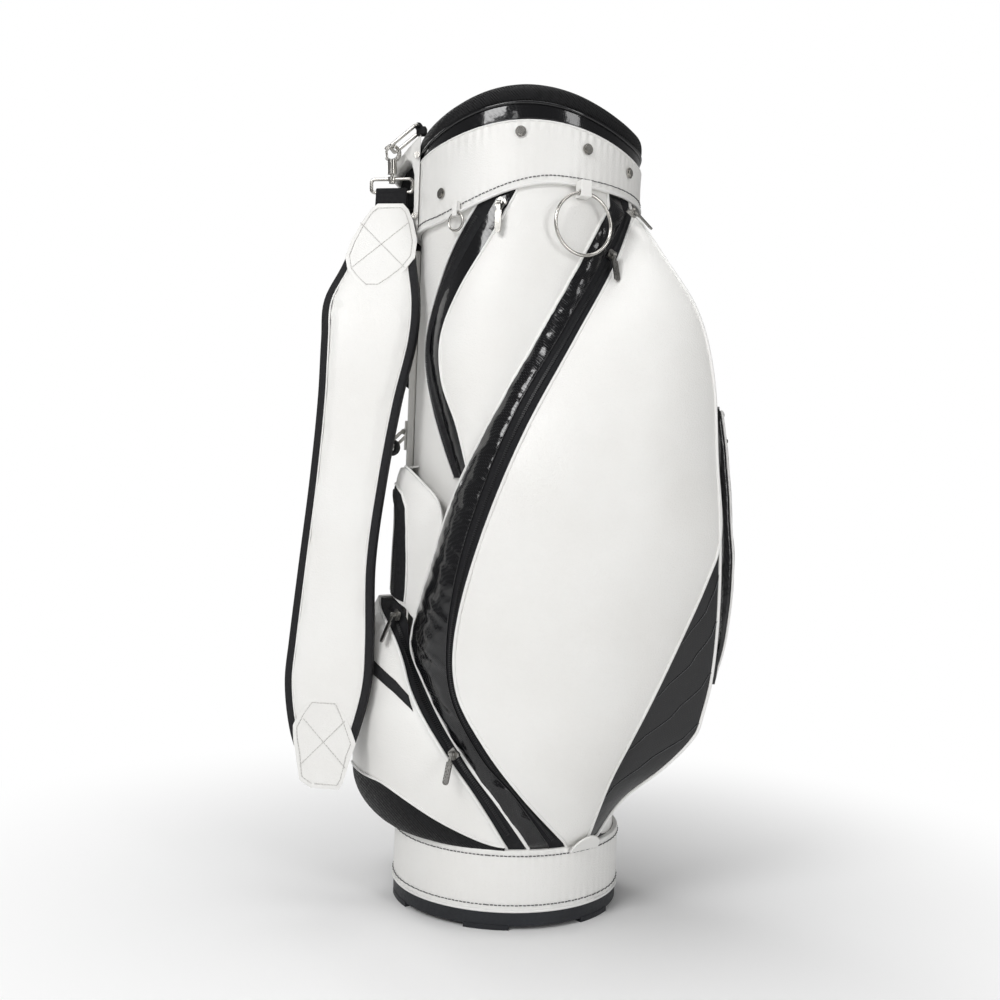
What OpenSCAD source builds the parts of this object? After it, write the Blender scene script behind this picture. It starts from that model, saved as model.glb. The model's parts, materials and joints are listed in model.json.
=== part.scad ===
// Golf staff bag: a stiff tube with sewn pockets, a raised cuff, a padded rim,
// a five-way divider, a spine bracket with a grip, and a padded shoulder strap.
// Millimetres. The origin is at the centre of the base, on the ground. +Z is up,
// +X is the ball pocket side, -X is the spine. Right is the -Y side.

/* [Trunk] */
// Outer radius of the stiff tube
tube_r = 114; // [113.5:0.1:114]
// Wall of the stiff tube
tube_wall = 2.5; // [1.5:0.5:3]
// Height of the top of the tube
tube_top = 792; // [788:1:793]
// Outer radius of the sewn skin
skin_r = 116; // [115.5:0.1:116]

/* [Base] */
// Radius of the white band round the base
base_r = 122; // [121:0.5:124]
// Top of the base band
base_top = 80; // [60:1:82]
// Height of the feet under the boot
foot_h = 4; // [3:0.5:6]
// Number of feet
foot_count = 6; // [4:1:8]
// Angle that one foot covers
foot_span = 22; // [14:1:30]

/* [Cuff and rim] */
// Outer radius of the cuff band
cuff_r = 121.6; // [120:0.1:122]
// Lowest height of the rim, at the spine
rim_low = 819; // [812:1:825]
// Rise of the rim at the two sides
rim_rise = 25; // [10:1:30]
// Height of the padded part of the rim
pad_h = 20; // [16:1:20]

/* [Divider] */
// Half of the width of the middle club cell
cell_half = 32; // [26:1:38]
// Thickness of the divider walls
divider_t = 3; // [2:0.5:4]

/* [Pockets] */
// Largest outward crown of the long side pockets
side_crown = 33; // [20:1:36]
// Outward crown of the front pocket
front_crown = 4; // [2:0.5:6]
// Half of the width of the ball pocket
ball_half = 62; // [50:1:64]

/* [Strap] */
// Thickness of the shoulder pad
pad_t = 11; // [8:0.5:12]
// Width of the top webbing
web_w = 38; // [30:1:38]
// Thickness of one layer of webbing
web_t = 2.4; // [1.5:0.1:2.6]

/* [Rings and zips] */
// Radius of the wire of the strap hardware
wire_r = 1.9; // [1.5:0.1:2]
// Mean radius of the towel ring
towel_r = 31; // [25:1:32]
// Mean radius of the small ring
small_r = 9; // [7:0.5:10]
// Length of a zip pull tab
pull_len = 30; // [20:1:32]

/* [Hidden] */
$fn = 96;
GAP = 0.4;              // clearance between neighbouring shells
INNER_R = skin_r + 0.6; // inner radius of every pocket
SEAM_GAP = 0.35;        // degrees left free on each side of a shared seam
FRONT_GAP = 2.2;        // space beside the front panel, whose edges twist
TURN = 7.5;             // angle step of the slanted rings
WHITE = "whitesmoke";
BLACK = [0.08, 0.08, 0.09];
METAL = "silver";

// ---------- Seams ----------
// Each seam is a list of rows [z, x, y] on the left side; the right side is its mirror.
// Foot of the upper pocket's gusset, on the skin
UPPER_FOOT = [[446, -51, 104], [476, -64, 98], [520, -81, 84], [566, -92, 71.5], [605, -91, 73],
              [657, -74, 90], [691, -58, 101.5], [730, -34, 111.5]];
// Rear edge of the upper pocket's face
UPPER_EDGE = [[455, -33, 130], [500, -46, 129], [545, -64, 122], [590, -67, 118], [636, -50, 121],
              [690, -20, 119.5], [735, 4, 119.5]];
// Long diagonal seam between the upper pocket and the side pocket's gusset
DIAGONAL = [[80, 41, 115], [125, 11, 129], [160, -17, 133], [200, -47, 127], [235, -70, 114],
            [270, -90, 99], [300, -88, 98], [343, -75, 108], [431, -46, 126], [513, -7, 134],
            [585, 29, 125], [661, 64, 103], [732, 93, 76]];
// Seam between the glossy gusset and the side pocket's zip tape
TAPE = [[80, 61, 106], [136, 25, 129], [171, -6, 137], [230, -38, 144], [289, -44, 149],
        [368, -33, 155], [456, -7, 155], [523, 19, 147], [592, 53, 127], [672, 87, 87],
        [732, 109, 57]];
// Rear edge of the side pocket's face
FACE_REAR = [[80, 79, 96], [140, 33, 137], [190, -3, 153], [240, -30, 157], [300, -32, 162],
             [390, -10, 168], [490, 26, 161], [590, 70, 126], [670, 101, 74], [732, 117, 40]];
// Upper part that the side face's front edge and the front panel's edge share
SHARED = [[395, 217, 81], [476, 211, 83], [560, 204, 79], [626, 186, 72], [687, 148, 58],
          [732, 119, 38]];
// Front edge of the side pocket's face
FACE_FRONT = concat([[80, 93, 80], [148, 116, 94], [190, 135, 98], [231, 154, 98],
                     [294, 181, 94], [351, 204, 88]], SHARED);
// Edge of the front panel
FRONT_EDGE = concat([[80, 100, 67], [125, 129, 64], [160, 170, 62], [193, 199, 61],
                     [214, 206, 62], [254, 214, 66], [315, 218, 73]], SHARED);
// Front edge of the arch pocket, which bends back over its top
ARCH_FRONT = [[300, -89, 97], [343, -76, 106], [400, -60, 116], [425, -66, 113], [440, -82, 104],
              [452, -98, 88], [460, -112, 66]];
// Front edge of the lower pocket, at the trunk
LOWER_FOOT = [[80, 38, 116], [125, 11, 129], [160, -17, 133], [200, -47, 127], [235, -70, 114],
              [270, -91, 99], [299, -95, 102], [312, -104, 93], [321, -116, 74]];
// Front edge of the lower pocket's face
LOWER_EDGE = [[80, 19, 121], [109, 2, 128], [141, -18, 137], [169, -39, 140], [199, -62, 135],
              [218, -76, 127], [238, -87, 121], [260, -95, 116], [280, -106, 106],
              [297, -119, 93], [309, -132, 70], [321, -136, 56]];
// Rear edge of the lower pocket, beside the spine
LOWER_REAR = [[80, -120, 36], [95, -142, 36], [110, -158, 36], [140, -166, 36], [200, -166, 36],
              [260, -158, 36], [300, -148, 36], [321, -138, 36]];
// Near edge of the ball pocket's front: x at each height
BALL_EDGE = [[240, 215, 0], [273, 224, 0], [304, 229, 0], [345, 232, 0], [385, 231, 0],
             [426, 228, 0], [486, 221, 0], [515, 217, 0], [536, 213, 0]];

function seg(rows, z, i = 0) = i >= len(rows) - 2 || z < rows[i + 1][0] ? i : seg(rows, z, i + 1);
function slope(rows, i) =
    let (a = rows[max(i - 1, 0)], b = rows[min(i + 1, len(rows) - 1)]) (b - a) / (b[0] - a[0]);
// Smooth curve through the rows of a seam, as [x, y] at height z
function seam(rows, z) =
    let (i = seg(rows, z), a = rows[i], b = rows[i + 1], h = b[0] - a[0], t = (z - a[0]) / h,
         p = (2 * t ^ 3 - 3 * t ^ 2 + 1) * a + (t ^ 3 - 2 * t ^ 2 + t) * h * slope(rows, i)
             + (3 * t ^ 2 - 2 * t ^ 3) * b + (t ^ 3 - t ^ 2) * h * slope(rows, i + 1))
    [p[1], p[2]];
function turned(p, a) = [p[0] * cos(a) - p[1] * sin(a), p[0] * sin(a) + p[1] * cos(a)];
function unit(v) = v / norm(v);
// Points from a to b, bowed out to the left of the way from a to b
function bowed(a, b, crown, n) =
    let (d = unit(b - a))
    [for (i = [0:n]) let (t = i / n) a + (b - a) * t + [-d[1], d[0]] * crown * 4 * t * (1 - t)];
function polar(a, r) = [r * cos(a), r * sin(a)];
function bearing(p) = atan2(p[1], p[0]);
// Points from a to b that turn evenly about the trunk, raised by a crown in the middle
function wrapped(a, b, crown, n) = [for (i = [0:n]) let (t = i / n)
    polar(bearing(a) + (bearing(b) - bearing(a)) * t,
          norm(a) + (norm(b) - norm(a)) * t + crown * 4 * t * (1 - t))];
// Arc on the trunk from bearing a to bearing b
function trunk_arc(a, b, n) = [for (i = [0:n]) polar(a + (b - a) * i / n, INNER_R / cos((b - a) / n / 2))];
function reversed(v) = [for (i = [len(v) - 1:-1:0]) v[i]];
function lifted(ring, z) = [for (p = ring) [p[0], p[1], z]];
function heights(low, high, n) = [for (i = [0:n]) low + (high - low) * i / n];

// Closed solid through rings of equal length; each ring runs counter-clockwise from above
module loft(rings) {
    n = len(rings[0]);
    m = len(rings);
    polyhedron(
        points = [for (r = rings) each r],
        faces = concat(
            [[for (j = [0:n - 1]) j]],
            [[for (j = [n - 1:-1:0]) (m - 1) * n + j]],
            [for (i = [0:m - 2], j = [0:n - 1]) [i * n + j, (i + 1) * n + j, (i + 1) * n + (j + 1) % n]],
            [for (i = [0:m - 2], j = [0:n - 1])
                [i * n + j, (i + 1) * n + (j + 1) % n, i * n + (j + 1) % n]]),
        convexity = 8);
}

// Solid ring whose section at each angle is a list of [radius, height]
module slanted_ring(sections) {
    n = len(sections);
    m = len(sections[0]);
    polyhedron(
        points = [for (i = [0:n - 1]) each [for (s = sections[i]) let (a = i * 360 / n)
                      [s[0] * cos(a), s[0] * sin(a), s[1]]]],
        faces = concat(
            [for (i = [0:n - 1], j = [0:m - 1])
                [i * m + j, i * m + (j + 1) % m, ((i + 1) % n) * m + (j + 1) % m]],
            [for (i = [0:n - 1], j = [0:m - 1])
                [i * m + j, ((i + 1) % n) * m + (j + 1) % m, ((i + 1) % n) * m + j]]),
        convexity = 8);
}

module right() { mirror([0, 1, 0]) children(); }

// ---------- Cuff edges: height at a bearing, the same on both sides ----------
// Angle from the side of the bag towards its front, -90 at the spine and 90 at the front
function lean(a) = atan2(cos(a), abs(sin(a)));
function bump(s) = abs(s) < 90 ? cos(s) ^ 2 : 0;
function ease(t) = let (u = min(max(t, 0), 1)) u * u * (3 - 2 * u);
function rim_z(a) = rim_low + 0.05 * lean(a) + rim_rise * bump(1.2 * (lean(a) - 4));
function fold_z(a) = rim_z(a) - pad_h;
function cuff_top(a) = rim_low - 32 + 19 * bump(1.2 * (lean(a) - 10));
function cuff_low(a) = 710 + 35.5 * ease((lean(a) + 48) / 70);

// ---------- Base ----------
module base_boot() {
    lip = 3;
    floor_t = 4;
    boot_top = 17.6;
    centre_foot_r = 30;
    color(BLACK) {
        translate([0, 0, foot_h]) cylinder(h = floor_t, r = base_r - 1);
        translate([0, 0, foot_h]) difference() {
            cylinder(h = boot_top - foot_h, r = base_r - 1);
            translate([0, 0, floor_t]) cylinder(h = boot_top, r = base_r - 1 - lip);
        }
        cylinder(h = foot_h + 1, r = centre_foot_r);
        for (i = [0:foot_count - 1]) rotate([0, 0, 30 + i * 360 / foot_count - foot_span / 2])
            rotate_extrude(angle = foot_span) translate([base_r - 22, 0]) square([21.5, foot_h + 1]);
    }
}
module base_plate() {
    color("dimgray") translate([0, 0, 8 + GAP])
        cylinder(h = 3, r = tube_r - tube_wall - GAP);
}
module base_band() {
    color(WHITE) translate([0, 0, 18]) difference() {
        cylinder(h = base_top - 18, r = base_r);
        translate([0, 0, -1]) cylinder(h = base_top, r = skin_r + GAP);
    }
}
module base_tab() {
    tab_r = 19;
    tab_t = 2;
    lean_out = 32;
    color(WHITE) on_trunk(48, base_r + 1.4, base_top - 4) rotate([90 + lean_out, 0, 0]) difference() {
        cylinder(h = tab_t, r = tab_r);
        translate([-tab_r - 1, -tab_r - 1, -1]) cube([2 * tab_r + 2, tab_r + 1, tab_t + 2]);
    }
}

// ---------- Trunk ----------
FRAME_TOP = tube_top - 3; // top of the divider's moulded frame
module body_tube() {
    color("gray") translate([0, 0, 8 + GAP]) difference() {
        cylinder(h = tube_top - 8 - GAP, r = tube_r);
        translate([0, 0, -1]) cylinder(h = tube_top, r = tube_r - tube_wall);
    }
}
module trunk_skin() {
    top = 745;
    color(WHITE) translate([0, 0, 18]) difference() {
        cylinder(h = top - 18, r = skin_r);
        translate([0, 0, -1]) cylinder(h = top, r = tube_r + 0.3);
    }
}
module divider_walls(low, high, t) {
    long = 240;
    translate([0, 0, low]) {
        for (x = [-cell_half, cell_half]) translate([x - t / 2, -long / 2, 0])
            cube([t, long, high - low]);
        for (s = [-1, 1]) translate([s * (cell_half + long / 4), 0, (high - low) / 2])
            cube([long / 2, t, high - low], center = true);
    }
}
module divider_frame() {
    ring_r = tube_r - tube_wall - GAP;
    ring_h = 26;
    ring_low = FRAME_TOP - ring_h;
    color("dimgray") {
        translate([0, 0, ring_low]) difference() {
            cylinder(h = ring_h, r = ring_r);
            translate([0, 0, -1]) cylinder(h = ring_h + 2, r = ring_r - 4);
        }
        intersection() {
            divider_walls(ring_low, FRAME_TOP, divider_t);
            cylinder(h = FRAME_TOP, r = ring_r - 2);
        }
    }
}
module divider_panels() {
    color("dimgray") intersection() {
        divider_walls(12, FRAME_TOP - 26.5, 1.6);
        cylinder(h = FRAME_TOP, r = tube_r - tube_wall - GAP);
    }
}

// ---------- Cuff and rim ----------
module cuff_band() {
    color(WHITE) slanted_ring([for (a = [0:TURN:359]) [
        [skin_r + GAP, cuff_low(a)], [cuff_r, cuff_low(a)],
        [cuff_r, cuff_top(a)], [skin_r + GAP, cuff_top(a)]]]);
}
module collar_band() {
    color(BLACK) slanted_ring([for (a = [0:TURN:359]) [
        [tube_r + GAP, cuff_top(a) + GAP], [cuff_r - 2, cuff_top(a) + GAP],
        [cuff_r - 2, fold_z(a) - GAP], [tube_r + GAP, fold_z(a) - GAP]]]);
}
module collar_pad() {
    low = 105;
    color(BLACK) slanted_ring([for (a = [0:TURN:359]) let (z = rim_z(a)) [
        [low + 2, z - pad_h + 0.3], [cuff_r - 2, z - pad_h], [cuff_r, z - pad_h + 4],
        [cuff_r - 0.5, z - 7], [cuff_r - 4, z - 1.5], [cuff_r - 8, z], [low + 3, z - 3],
        [low, z - 9]]]);
}

// Moves a child to bearing angle a (0 at the right side, 90 at the front) and radius r;
// there -Y points outwards and Z stays up
module on_trunk(a, r, z) { rotate([0, 0, a]) translate([0, -r, z]) children(); }
STUDS = [[-40, 740], [3, 794], [36, 783], [66, 773]];
module hood_studs() {
    color(METAL) for (side = [0, 1], s = STUDS) mirror([0, side, 0])
        on_trunk(s[0], cuff_r + 0.3, s[1]) rotate([90, 0, 0]) {
            cylinder(h = 1, r = 5.6, $fn = 40);
            cylinder(h = 2.6, r = 3.6, $fn = 40);
        }
}

// ---------- Spine ----------
BRACKET_SIDE = [[-106, 706], [-106, 815], [-113, 817], [-143, 795], [-149, 788], [-149, 772],
                [-144, 770], [-140, 784], [-131, 793], [-124, 789], [-120, 774], [-119, 740],
                [-121, 716], [-115, 703]];
BRACKET_PLAN = [[-100, -47], [-113, -47], [-124, -41], [-144, -26], [-152, -20], [-152, 20],
                [-144, 26], [-124, 41], [-113, 47], [-100, 47]];
module spine_bracket() {
    color(WHITE) difference() {
        intersection() {
            translate([0, 0, 690]) linear_extrude(140) polygon(BRACKET_PLAN);
            rotate([90, 0, 0]) translate([0, 0, -60]) linear_extrude(120) polygon(BRACKET_SIDE);
        }
        cylinder(h = 900, r = cuff_r + GAP);
    }
}
module bracket_rivets() {
    color(METAL) for (side = [0, 1], z = [729, 794]) mirror([0, side, 0])
        translate([-116.5, -47.2, z]) rotate([90, 0, 0]) cylinder(h = 1.6, r = 3.4, $fn = 40);
}
PANEL_X = -121;
module spine_panel() {
    color(WHITE) difference() {
        translate([PANEL_X, -30, 330]) cube([30, 60, 365]);
        cylinder(h = 900, r = skin_r + GAP);
    }
}
module carry_handle() {
    half = 17;
    // Outline of the grip: a base strip along the spine and a bow that stands off it
    outer = [[-123, 545], [-132, 552], [-143, 580], [-150, 620], [-152, 670], [-150, 720],
             [-144, 760], [-138, 780], [-130, 790], [-124, 786]];
    hole = [[-126, 590], [-132, 600], [-137, 630], [-139, 670], [-137, 710], [-132, 740],
            [-126, 750]];
    color(BLACK) rotate([90, 0, 0]) translate([0, 0, -half]) linear_extrude(2 * half)
        difference() {
            polygon(concat(outer, [[-cuff_r - GAP, 780], [-cuff_r - GAP, 545]]));
            polygon(hole);
        }
}

// ---------- Pockets, built on the left side ----------
// Closed ring: an outer path, then down to the trunk and back along it
function pocket_ring(path, z) =
    let (a = bearing(path[0]), b = bearing(path[len(path) - 1]))
    lifted(reversed(concat(path, trunk_arc(b, a, 12))), z);
module side_pocket() {
    low = base_top + 4;
    high = 726;
    loft([for (z = heights(low, high, 22))
        let (a = seam(FACE_REAR, z), b = seam(FACE_FRONT, z), f = seam(FRONT_EDGE, z),
             crown = 2 + side_crown * sin(180 * (z - low) / (high - low)))
        pocket_ring(concat([turned(seam(DIAGONAL, z), -SEAM_GAP), seam(TAPE, z)],
                           bowed(a, b, crown, 8), [turned(f, SEAM_GAP)]), z)]);
}
module upper_pocket() {
    loft([for (z = heights(462, 708, 14))
        let (edge = seam(UPPER_EDGE, z), d = turned(seam(DIAGONAL, z), SEAM_GAP))
        pocket_ring(concat([seam(UPPER_FOOT, z) * (INNER_R + 1) / skin_r],
                           wrapped(edge, d, 2, 6)), z)]);
}
module arch_pocket() {
    loft([for (z = heights(326, 458, 14))
        let (rear = [-124, 36], f = turned(seam(ARCH_FRONT, z), SEAM_GAP))
        pocket_ring(bowed(rear, f, 0.22 * norm(f - rear), 7), z)]);
}
module lower_pocket() {
    low = base_top + 4;
    loft([for (z = heights(low, 320, 12))
        let (rear = seam(LOWER_REAR, z), edge = seam(LOWER_EDGE, z))
        pocket_ring(concat(bowed(rear, edge, 0.18 * norm(edge - rear), 9),
                           [turned(seam(LOWER_FOOT, z), SEAM_GAP)]), z)]);
}
module side_pocket_left() { color(WHITE) side_pocket(); }
module side_pocket_right() { color(WHITE) right() side_pocket(); }
module upper_pocket_left() { color(WHITE) upper_pocket(); }
module upper_pocket_right() { color(WHITE) right() upper_pocket(); }
module arch_pocket_left() { color(WHITE) arch_pocket(); }
module arch_pocket_right() { color(WHITE) right() arch_pocket(); }
module lower_pocket_left() { color(WHITE) lower_pocket(); }
module lower_pocket_right() { color(WHITE) right() lower_pocket(); }
// x of the front panel's surface at height z, on the centre line
function front_x(z) = seam(FRONT_EDGE, z)[0] + front_crown;
module front_pocket() {
    inside = INNER_R - 16;
    color(BLACK) difference() {
        loft([for (z = heights(base_top + 4, 726, 22))
            let (f = seam(FRONT_EDGE, z) - [0, FRONT_GAP], g = [f[0], -f[1]],
                 a = bearing(f))
            lifted(concat(reversed(bowed(f, g, front_crown, 6)),
                          [polar(a, inside), polar(-a, inside)]), z)]);
        cylinder(h = tube_top, r = INNER_R);
    }
}
module ball_pocket() {
    color(BLACK) loft([for (z = heights(246, 532, 10))
        let (x = seam(BALL_EDGE, z)[0], back = front_x(z) + GAP + 0.6, h = ball_half)
        lifted(concat([[back, -h], [x, -h]], reversed(bowed([x, h - 4], [x, 4 - h], 5, 4)),
                      [[x, h], [back, h]]), z)]);
}

// ---------- Rings and tabs ----------
module torus(big, small) { rotate_extrude() translate([big, 0]) circle(r = small, $fn = 24); }
// Rounded wire frame in the XY plane, w along X and h along Y, centred
module wire_frame(w, h, corner, r) {
    for (s = [-1, 1]) {
        translate([0, s * h / 2, 0]) rotate([0, 90, 0])
            cylinder(h = w - 2 * corner, r = r, center = true, $fn = 24);
        translate([s * w / 2, 0, 0]) rotate([90, 0, 0])
            cylinder(h = h - 2 * corner, r = r, center = true, $fn = 24);
    }
    for (q = [0:3]) rotate([0, 0, 90 * q])
        let (x = (q % 2 == 0 ? w : h) / 2 - corner, y = (q % 2 == 0 ? h : w) / 2 - corner)
        translate([x, y, 0]) rotate_extrude(angle = 90)
            translate([corner, 0]) circle(r = r, $fn = 24);
}
// Rows [angle, radius, height of the hinge line, mean ring radius, wire radius, tab width]
TOWEL = [33, 130.5, 736, towel_r, 1.75, 12];
SMALL = [-28, 124.6, 716, small_r, 1.2, 6];
module hung_ring(row) {
    color(METAL) on_trunk(row[0], row[1], row[2] - row[3])
        rotate([90, 0, 0]) torus(row[3], row[4]);
}
module towel_ring() { hung_ring(TOWEL); }
module small_ring() { hung_ring(SMALL); }
// Loop of leather round the top of a ring, held against the trunk
module ring_tab(row) {
    hole = row[4] + 0.9;
    depth = row[1] - cuff_r + 1.5;
    on_trunk(row[0], row[1], row[2]) difference() {
        translate([-row[5] / 2, -hole - 1.6, -hole - 1.6])
            cube([row[5], depth + hole, 2 * hole + 3.2 + 8]);
        rotate([0, 90, 0]) cylinder(h = row[5] + 2, r = hole, center = true, $fn = 32);
    }
}
module ring_tabs() {
    color(WHITE) difference() {
        for (row = [TOWEL, SMALL]) ring_tab(row);
        cylinder(h = 900, r = cuff_r + GAP);
    }
}

// ---------- Strap ----------
// The strap hangs between the link's lower bar and the D-ring's lower bar, and turns about that line
LINK_TOP = [-117, -40, 826];   // centre of the link's upper bar
LINK_LEN = 37.6;
LINK_DROP = 39.6;              // slope of the link below level
LINK_W = 22;
HOOK = LINK_TOP - LINK_LEN * [cos(LINK_DROP), 0, sin(LINK_DROP)]; // centre of its lower bar
RING_TOP = [-125, -18, 498];   // centre of the D-ring's upper bar
RING_LEN = 24;
RING_DROP = 45;
RING_W = 32;
RING_LOW = RING_TOP - RING_LEN * [cos(RING_DROP), 0, sin(RING_DROP)]; // centre of its lower bar
HANG = unit(RING_LOW - HOOK);
// Moves a child to the hook: the origin is on the link's bar and -Z runs down the strap's line
module hanging() {
    translate(HOOK) rotate([asin(HANG[1]), -atan2(HANG[0], -HANG[2]), 0]) children();
}
// Wire frame that slopes down towards -X from its upper bar, with its bars w long along Y
module bar_frame(top, length, drop, w) {
    translate(top) rotate([0, 180 - drop, 0]) translate([length / 2, 0, 0])
        wire_frame(length, w, 4, wire_r);
}
module strap_link() { color(METAL) bar_frame(LINK_TOP, LINK_LEN, LINK_DROP, LINK_W); }
module d_ring() { color(METAL) bar_frame(RING_TOP, RING_LEN, RING_DROP, RING_W); }
module link_anchor() {
    hole = wire_r + 0.3;
    foot_z = 817.4;
    color(BLACK) difference() {
        translate(LINK_TOP) {
            rotate([90, 0, 0]) cylinder(h = 10, r = hole + 2, center = true, $fn = 40);
            translate([-2, -5, foot_z - LINK_TOP[2]]) cube([10, 10, LINK_TOP[2] - foot_z]);
        }
        translate(LINK_TOP) rotate([90, 0, 0]) cylinder(h = 12, r = hole, center = true, $fn = 40);
    }
}
module d_ring_tab() {
    hole = wire_r + 0.3;
    color(WHITE) difference() {
        translate(RING_TOP) {
            rotate([90, 0, 0]) cylinder(h = 20, r = hole + 1, center = true, $fn = 40);
            translate([1, -10, -20]) cube([2.4, 20, 32]);
        }
        translate(RING_TOP) rotate([90, 0, 0]) cylinder(h = 22, r = hole, center = true, $fn = 40);
    }
}
EYE = 6.2;                     // inner radius of the snap hook's eye
EYE_WALL = 3.4;
EYE_MID = EYE + EYE_WALL / 2;
HOOK_T = 5;                    // thickness of the snap hook
EYE_Z = wire_r + 0.4 - EYE;    // height of the eye's centre in the hanging frame
GATE_FOOT = 226;               // angle of the gate's pin in the eye
GATE_TIP = 150;                // angle at which the eye's mouth ends
module snap_hook() {
    body_low = EYE_Z - EYE - 16;
    pin_low = body_low - 9.8;
    mouth = 3 * EYE;
    color(METAL) hanging() {
        translate([0, 0, EYE_Z]) rotate([90, 0, 0])
            translate([0, 0, -HOOK_T / 2]) linear_extrude(HOOK_T) difference() {
                circle(r = EYE + EYE_WALL);
                circle(r = EYE);
                polygon([[0, 0], polar(GATE_TIP, mouth), polar(GATE_FOOT + 14, mouth)]);
            }
        translate([0, 0, body_low]) cylinder(h = 15, r = 5);
        translate([0, 0, pin_low]) cylinder(h = 11, r = 2);
        translate([0, 0, pin_low]) cylinder(h = 2, r = 3.6);
    }
}
// Sprung bar across the eye's mouth, on a pin at its foot
module hook_gate() {
    foot = polar(GATE_FOOT, EYE_MID);
    way = polar(GATE_TIP, EYE_MID) - foot;
    color(METAL) hanging() translate([foot[0], 0, EYE_Z + foot[1]]) {
        rotate([90, 0, 0]) cylinder(h = HOOK_T, r = 1.6, center = true, $fn = 32);
        rotate([0, atan2(way[0], way[1]), 0]) cylinder(h = norm(way) - 1, r = 1.3, $fn = 32);
    }
}
LOOP_Z = EYE_Z - 27.5;         // height of the swivel loop's top bar in the hanging frame
LOOP_H = 14;
LOOP_W = 46;
module swivel_loop() {
    color(METAL) hanging() translate([0, 0, LOOP_Z]) difference() {
        union() {
            translate([0, 0, -LOOP_H / 2]) rotate([90, 0, 0])
                wire_frame(LOOP_W, LOOP_H, 4, wire_r);
            translate([0, 0, -2]) cylinder(h = 4, r = 4.6);
        }
        cylinder(h = 20, r = 2.1, center = true);
    }
}
// Webbing folded round the swivel loop's lower bar, leaning out to the top of the pad
module webbing_top() {
    hole = wire_r + 0.3;
    half_t = hole + web_t;
    width = web_w - 4;
    color(BLACK) hanging() translate([0, 0, LOOP_Z - LOOP_H]) rotate([90, 0, 90])
        linear_extrude(width, center = true) difference() {
            union() {
                circle(r = half_t, $fn = 40);
                rotate(-12) translate([0, -10]) square([2 * half_t - 1, 20], center = true);
            }
            circle(r = hole, $fn = 40);
        }
}
// Shoulder pad: rows [z, left x, right x, y]
PAD = [[150, -198, -152, -112], [185, -211, -140, -112], [232, -218, -129, -112],
       [274, -216, -128, -110], [357, -210, -131, -105], [441, -204, -124, -99],
       [525, -201, -113, -91], [590, -202, -101, -84], [630, -203, -101, -76],
       [668, -189, -109, -64], [705, -178, -118, -51], [735.6, -164, -128, -40]];
// Flat slab of thickness t whose rows are [z, left x, right x, y]
module slab(rows, t) {
    loft([for (r = rows) let (h = t / 2, c = 3)
        lifted([[r[1], r[3] - h + c], [r[1] + c, r[3] - h], [r[2] - c, r[3] - h],
                [r[2], r[3] - h + c], [r[2], r[3] + h - c], [r[2] - c, r[3] + h],
                [r[1] + c, r[3] + h], [r[1], r[3] + h - c]], r[0])]);
}
module strap_pad() { color(WHITE) slab(PAD, pad_t); }
// Leather patches over the two ends of the pad, just proud of its front
PATCH_T = 2;
function patch_y(z) = let (rows = [for (r = PAD) [r[0], r[3], 0]])
    seam(rows, z)[0] - pad_t / 2 - PATCH_T / 2 - 0.5;
module patch(rows) {
    loft([for (r = rows) let (y = patch_y(r[0]), h = PATCH_T / 2)
        lifted([[r[1], y - h], [r[2], y - h], [r[2], y + h], [r[1], y + h]], r[0])]);
}
module strap_patches() {
    color(WHITE) {
        patch([[644, -160, -146], [652, -170, -134], [664, -181, -120], [680, -186, -110],
               [700, -182, -110], [722, -173, -117], [735, -166, -128]]);
        patch([[151, -197, -155], [165, -204, -146], [180, -208, -144], [197, -199, -154],
               [208, -187, -164]]);
    }
}
// Lower webbing: rows [x, y, z, width, turn of its width from X towards Y]
WEBBING = [[-176, -112, 148, 36, 0], [-176, -111, 124, 36, 0], [-176, -106, 117, 36, 0],
           [-176, -101, 122, 36, 0], [-174, -99, 160, 36, 0], [-171, -95, 220, 36, 5],
           [-166, -87, 290, 34, 20], [-159, -70, 350, 32, 40], [-153, -47, 410, 28, 65],
           [-150, -26, 455, 22, 85], [-149.4, -18.5, 476, 20, 90]];
// Smooth curve through the rows, at row number t
function along(rows, t) =
    let (i = min(floor(t), len(rows) - 2), u = t - i, a = rows[max(i - 1, 0)], b = rows[i],
         c = rows[i + 1], d = rows[min(i + 2, len(rows) - 1)])
    b + u * (c - a) / 2 + u ^ 2 * (a - 2.5 * b + 2 * c - d / 2)
      + u ^ 3 * (1.5 * (b - c) + (d - a) / 2);
function strip_ring(t) =
    let (last = len(WEBBING) - 1, r = along(WEBBING, t), a = along(WEBBING, max(t - 0.1, 0)),
         b = along(WEBBING, min(t + 0.1, last)), way = unit([b[0] - a[0], b[1] - a[1], b[2] - a[2]]),
         side = [cos(r[4]), sin(r[4]), 0], face = unit(cross(way, side)),
         c = [r[0], r[1], r[2]], s = side * r[3] / 2, f = face * web_t / 2)
    [c - s - f, c + s - f, c + s + f, c - s + f];
// The strip ends in a wide loop round the D-ring's lower bar, so that the strap can turn there
module webbing_bottom() {
    loop_r = 7;
    loop_w = 20;
    color(BLACK) {
        loft([for (t = [0:0.2:len(WEBBING) - 1]) strip_ring(t)]);
        translate(RING_LOW) rotate([90, 0, 0]) difference() {
            cylinder(h = loop_w, r = loop_r + web_t, center = true);
            cylinder(h = loop_w + 2, r = loop_r, center = true);
        }
    }
}
module strap_adjuster() {
    color(METAL) translate([-169, -96, 250]) rotate([-6, 0, 11]) difference() {
        cube([44, 3, 26], center = true);
        for (z = [-6, 6]) translate([0, 0, z]) cube([36, 5, 7], center = true);
    }
}

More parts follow.
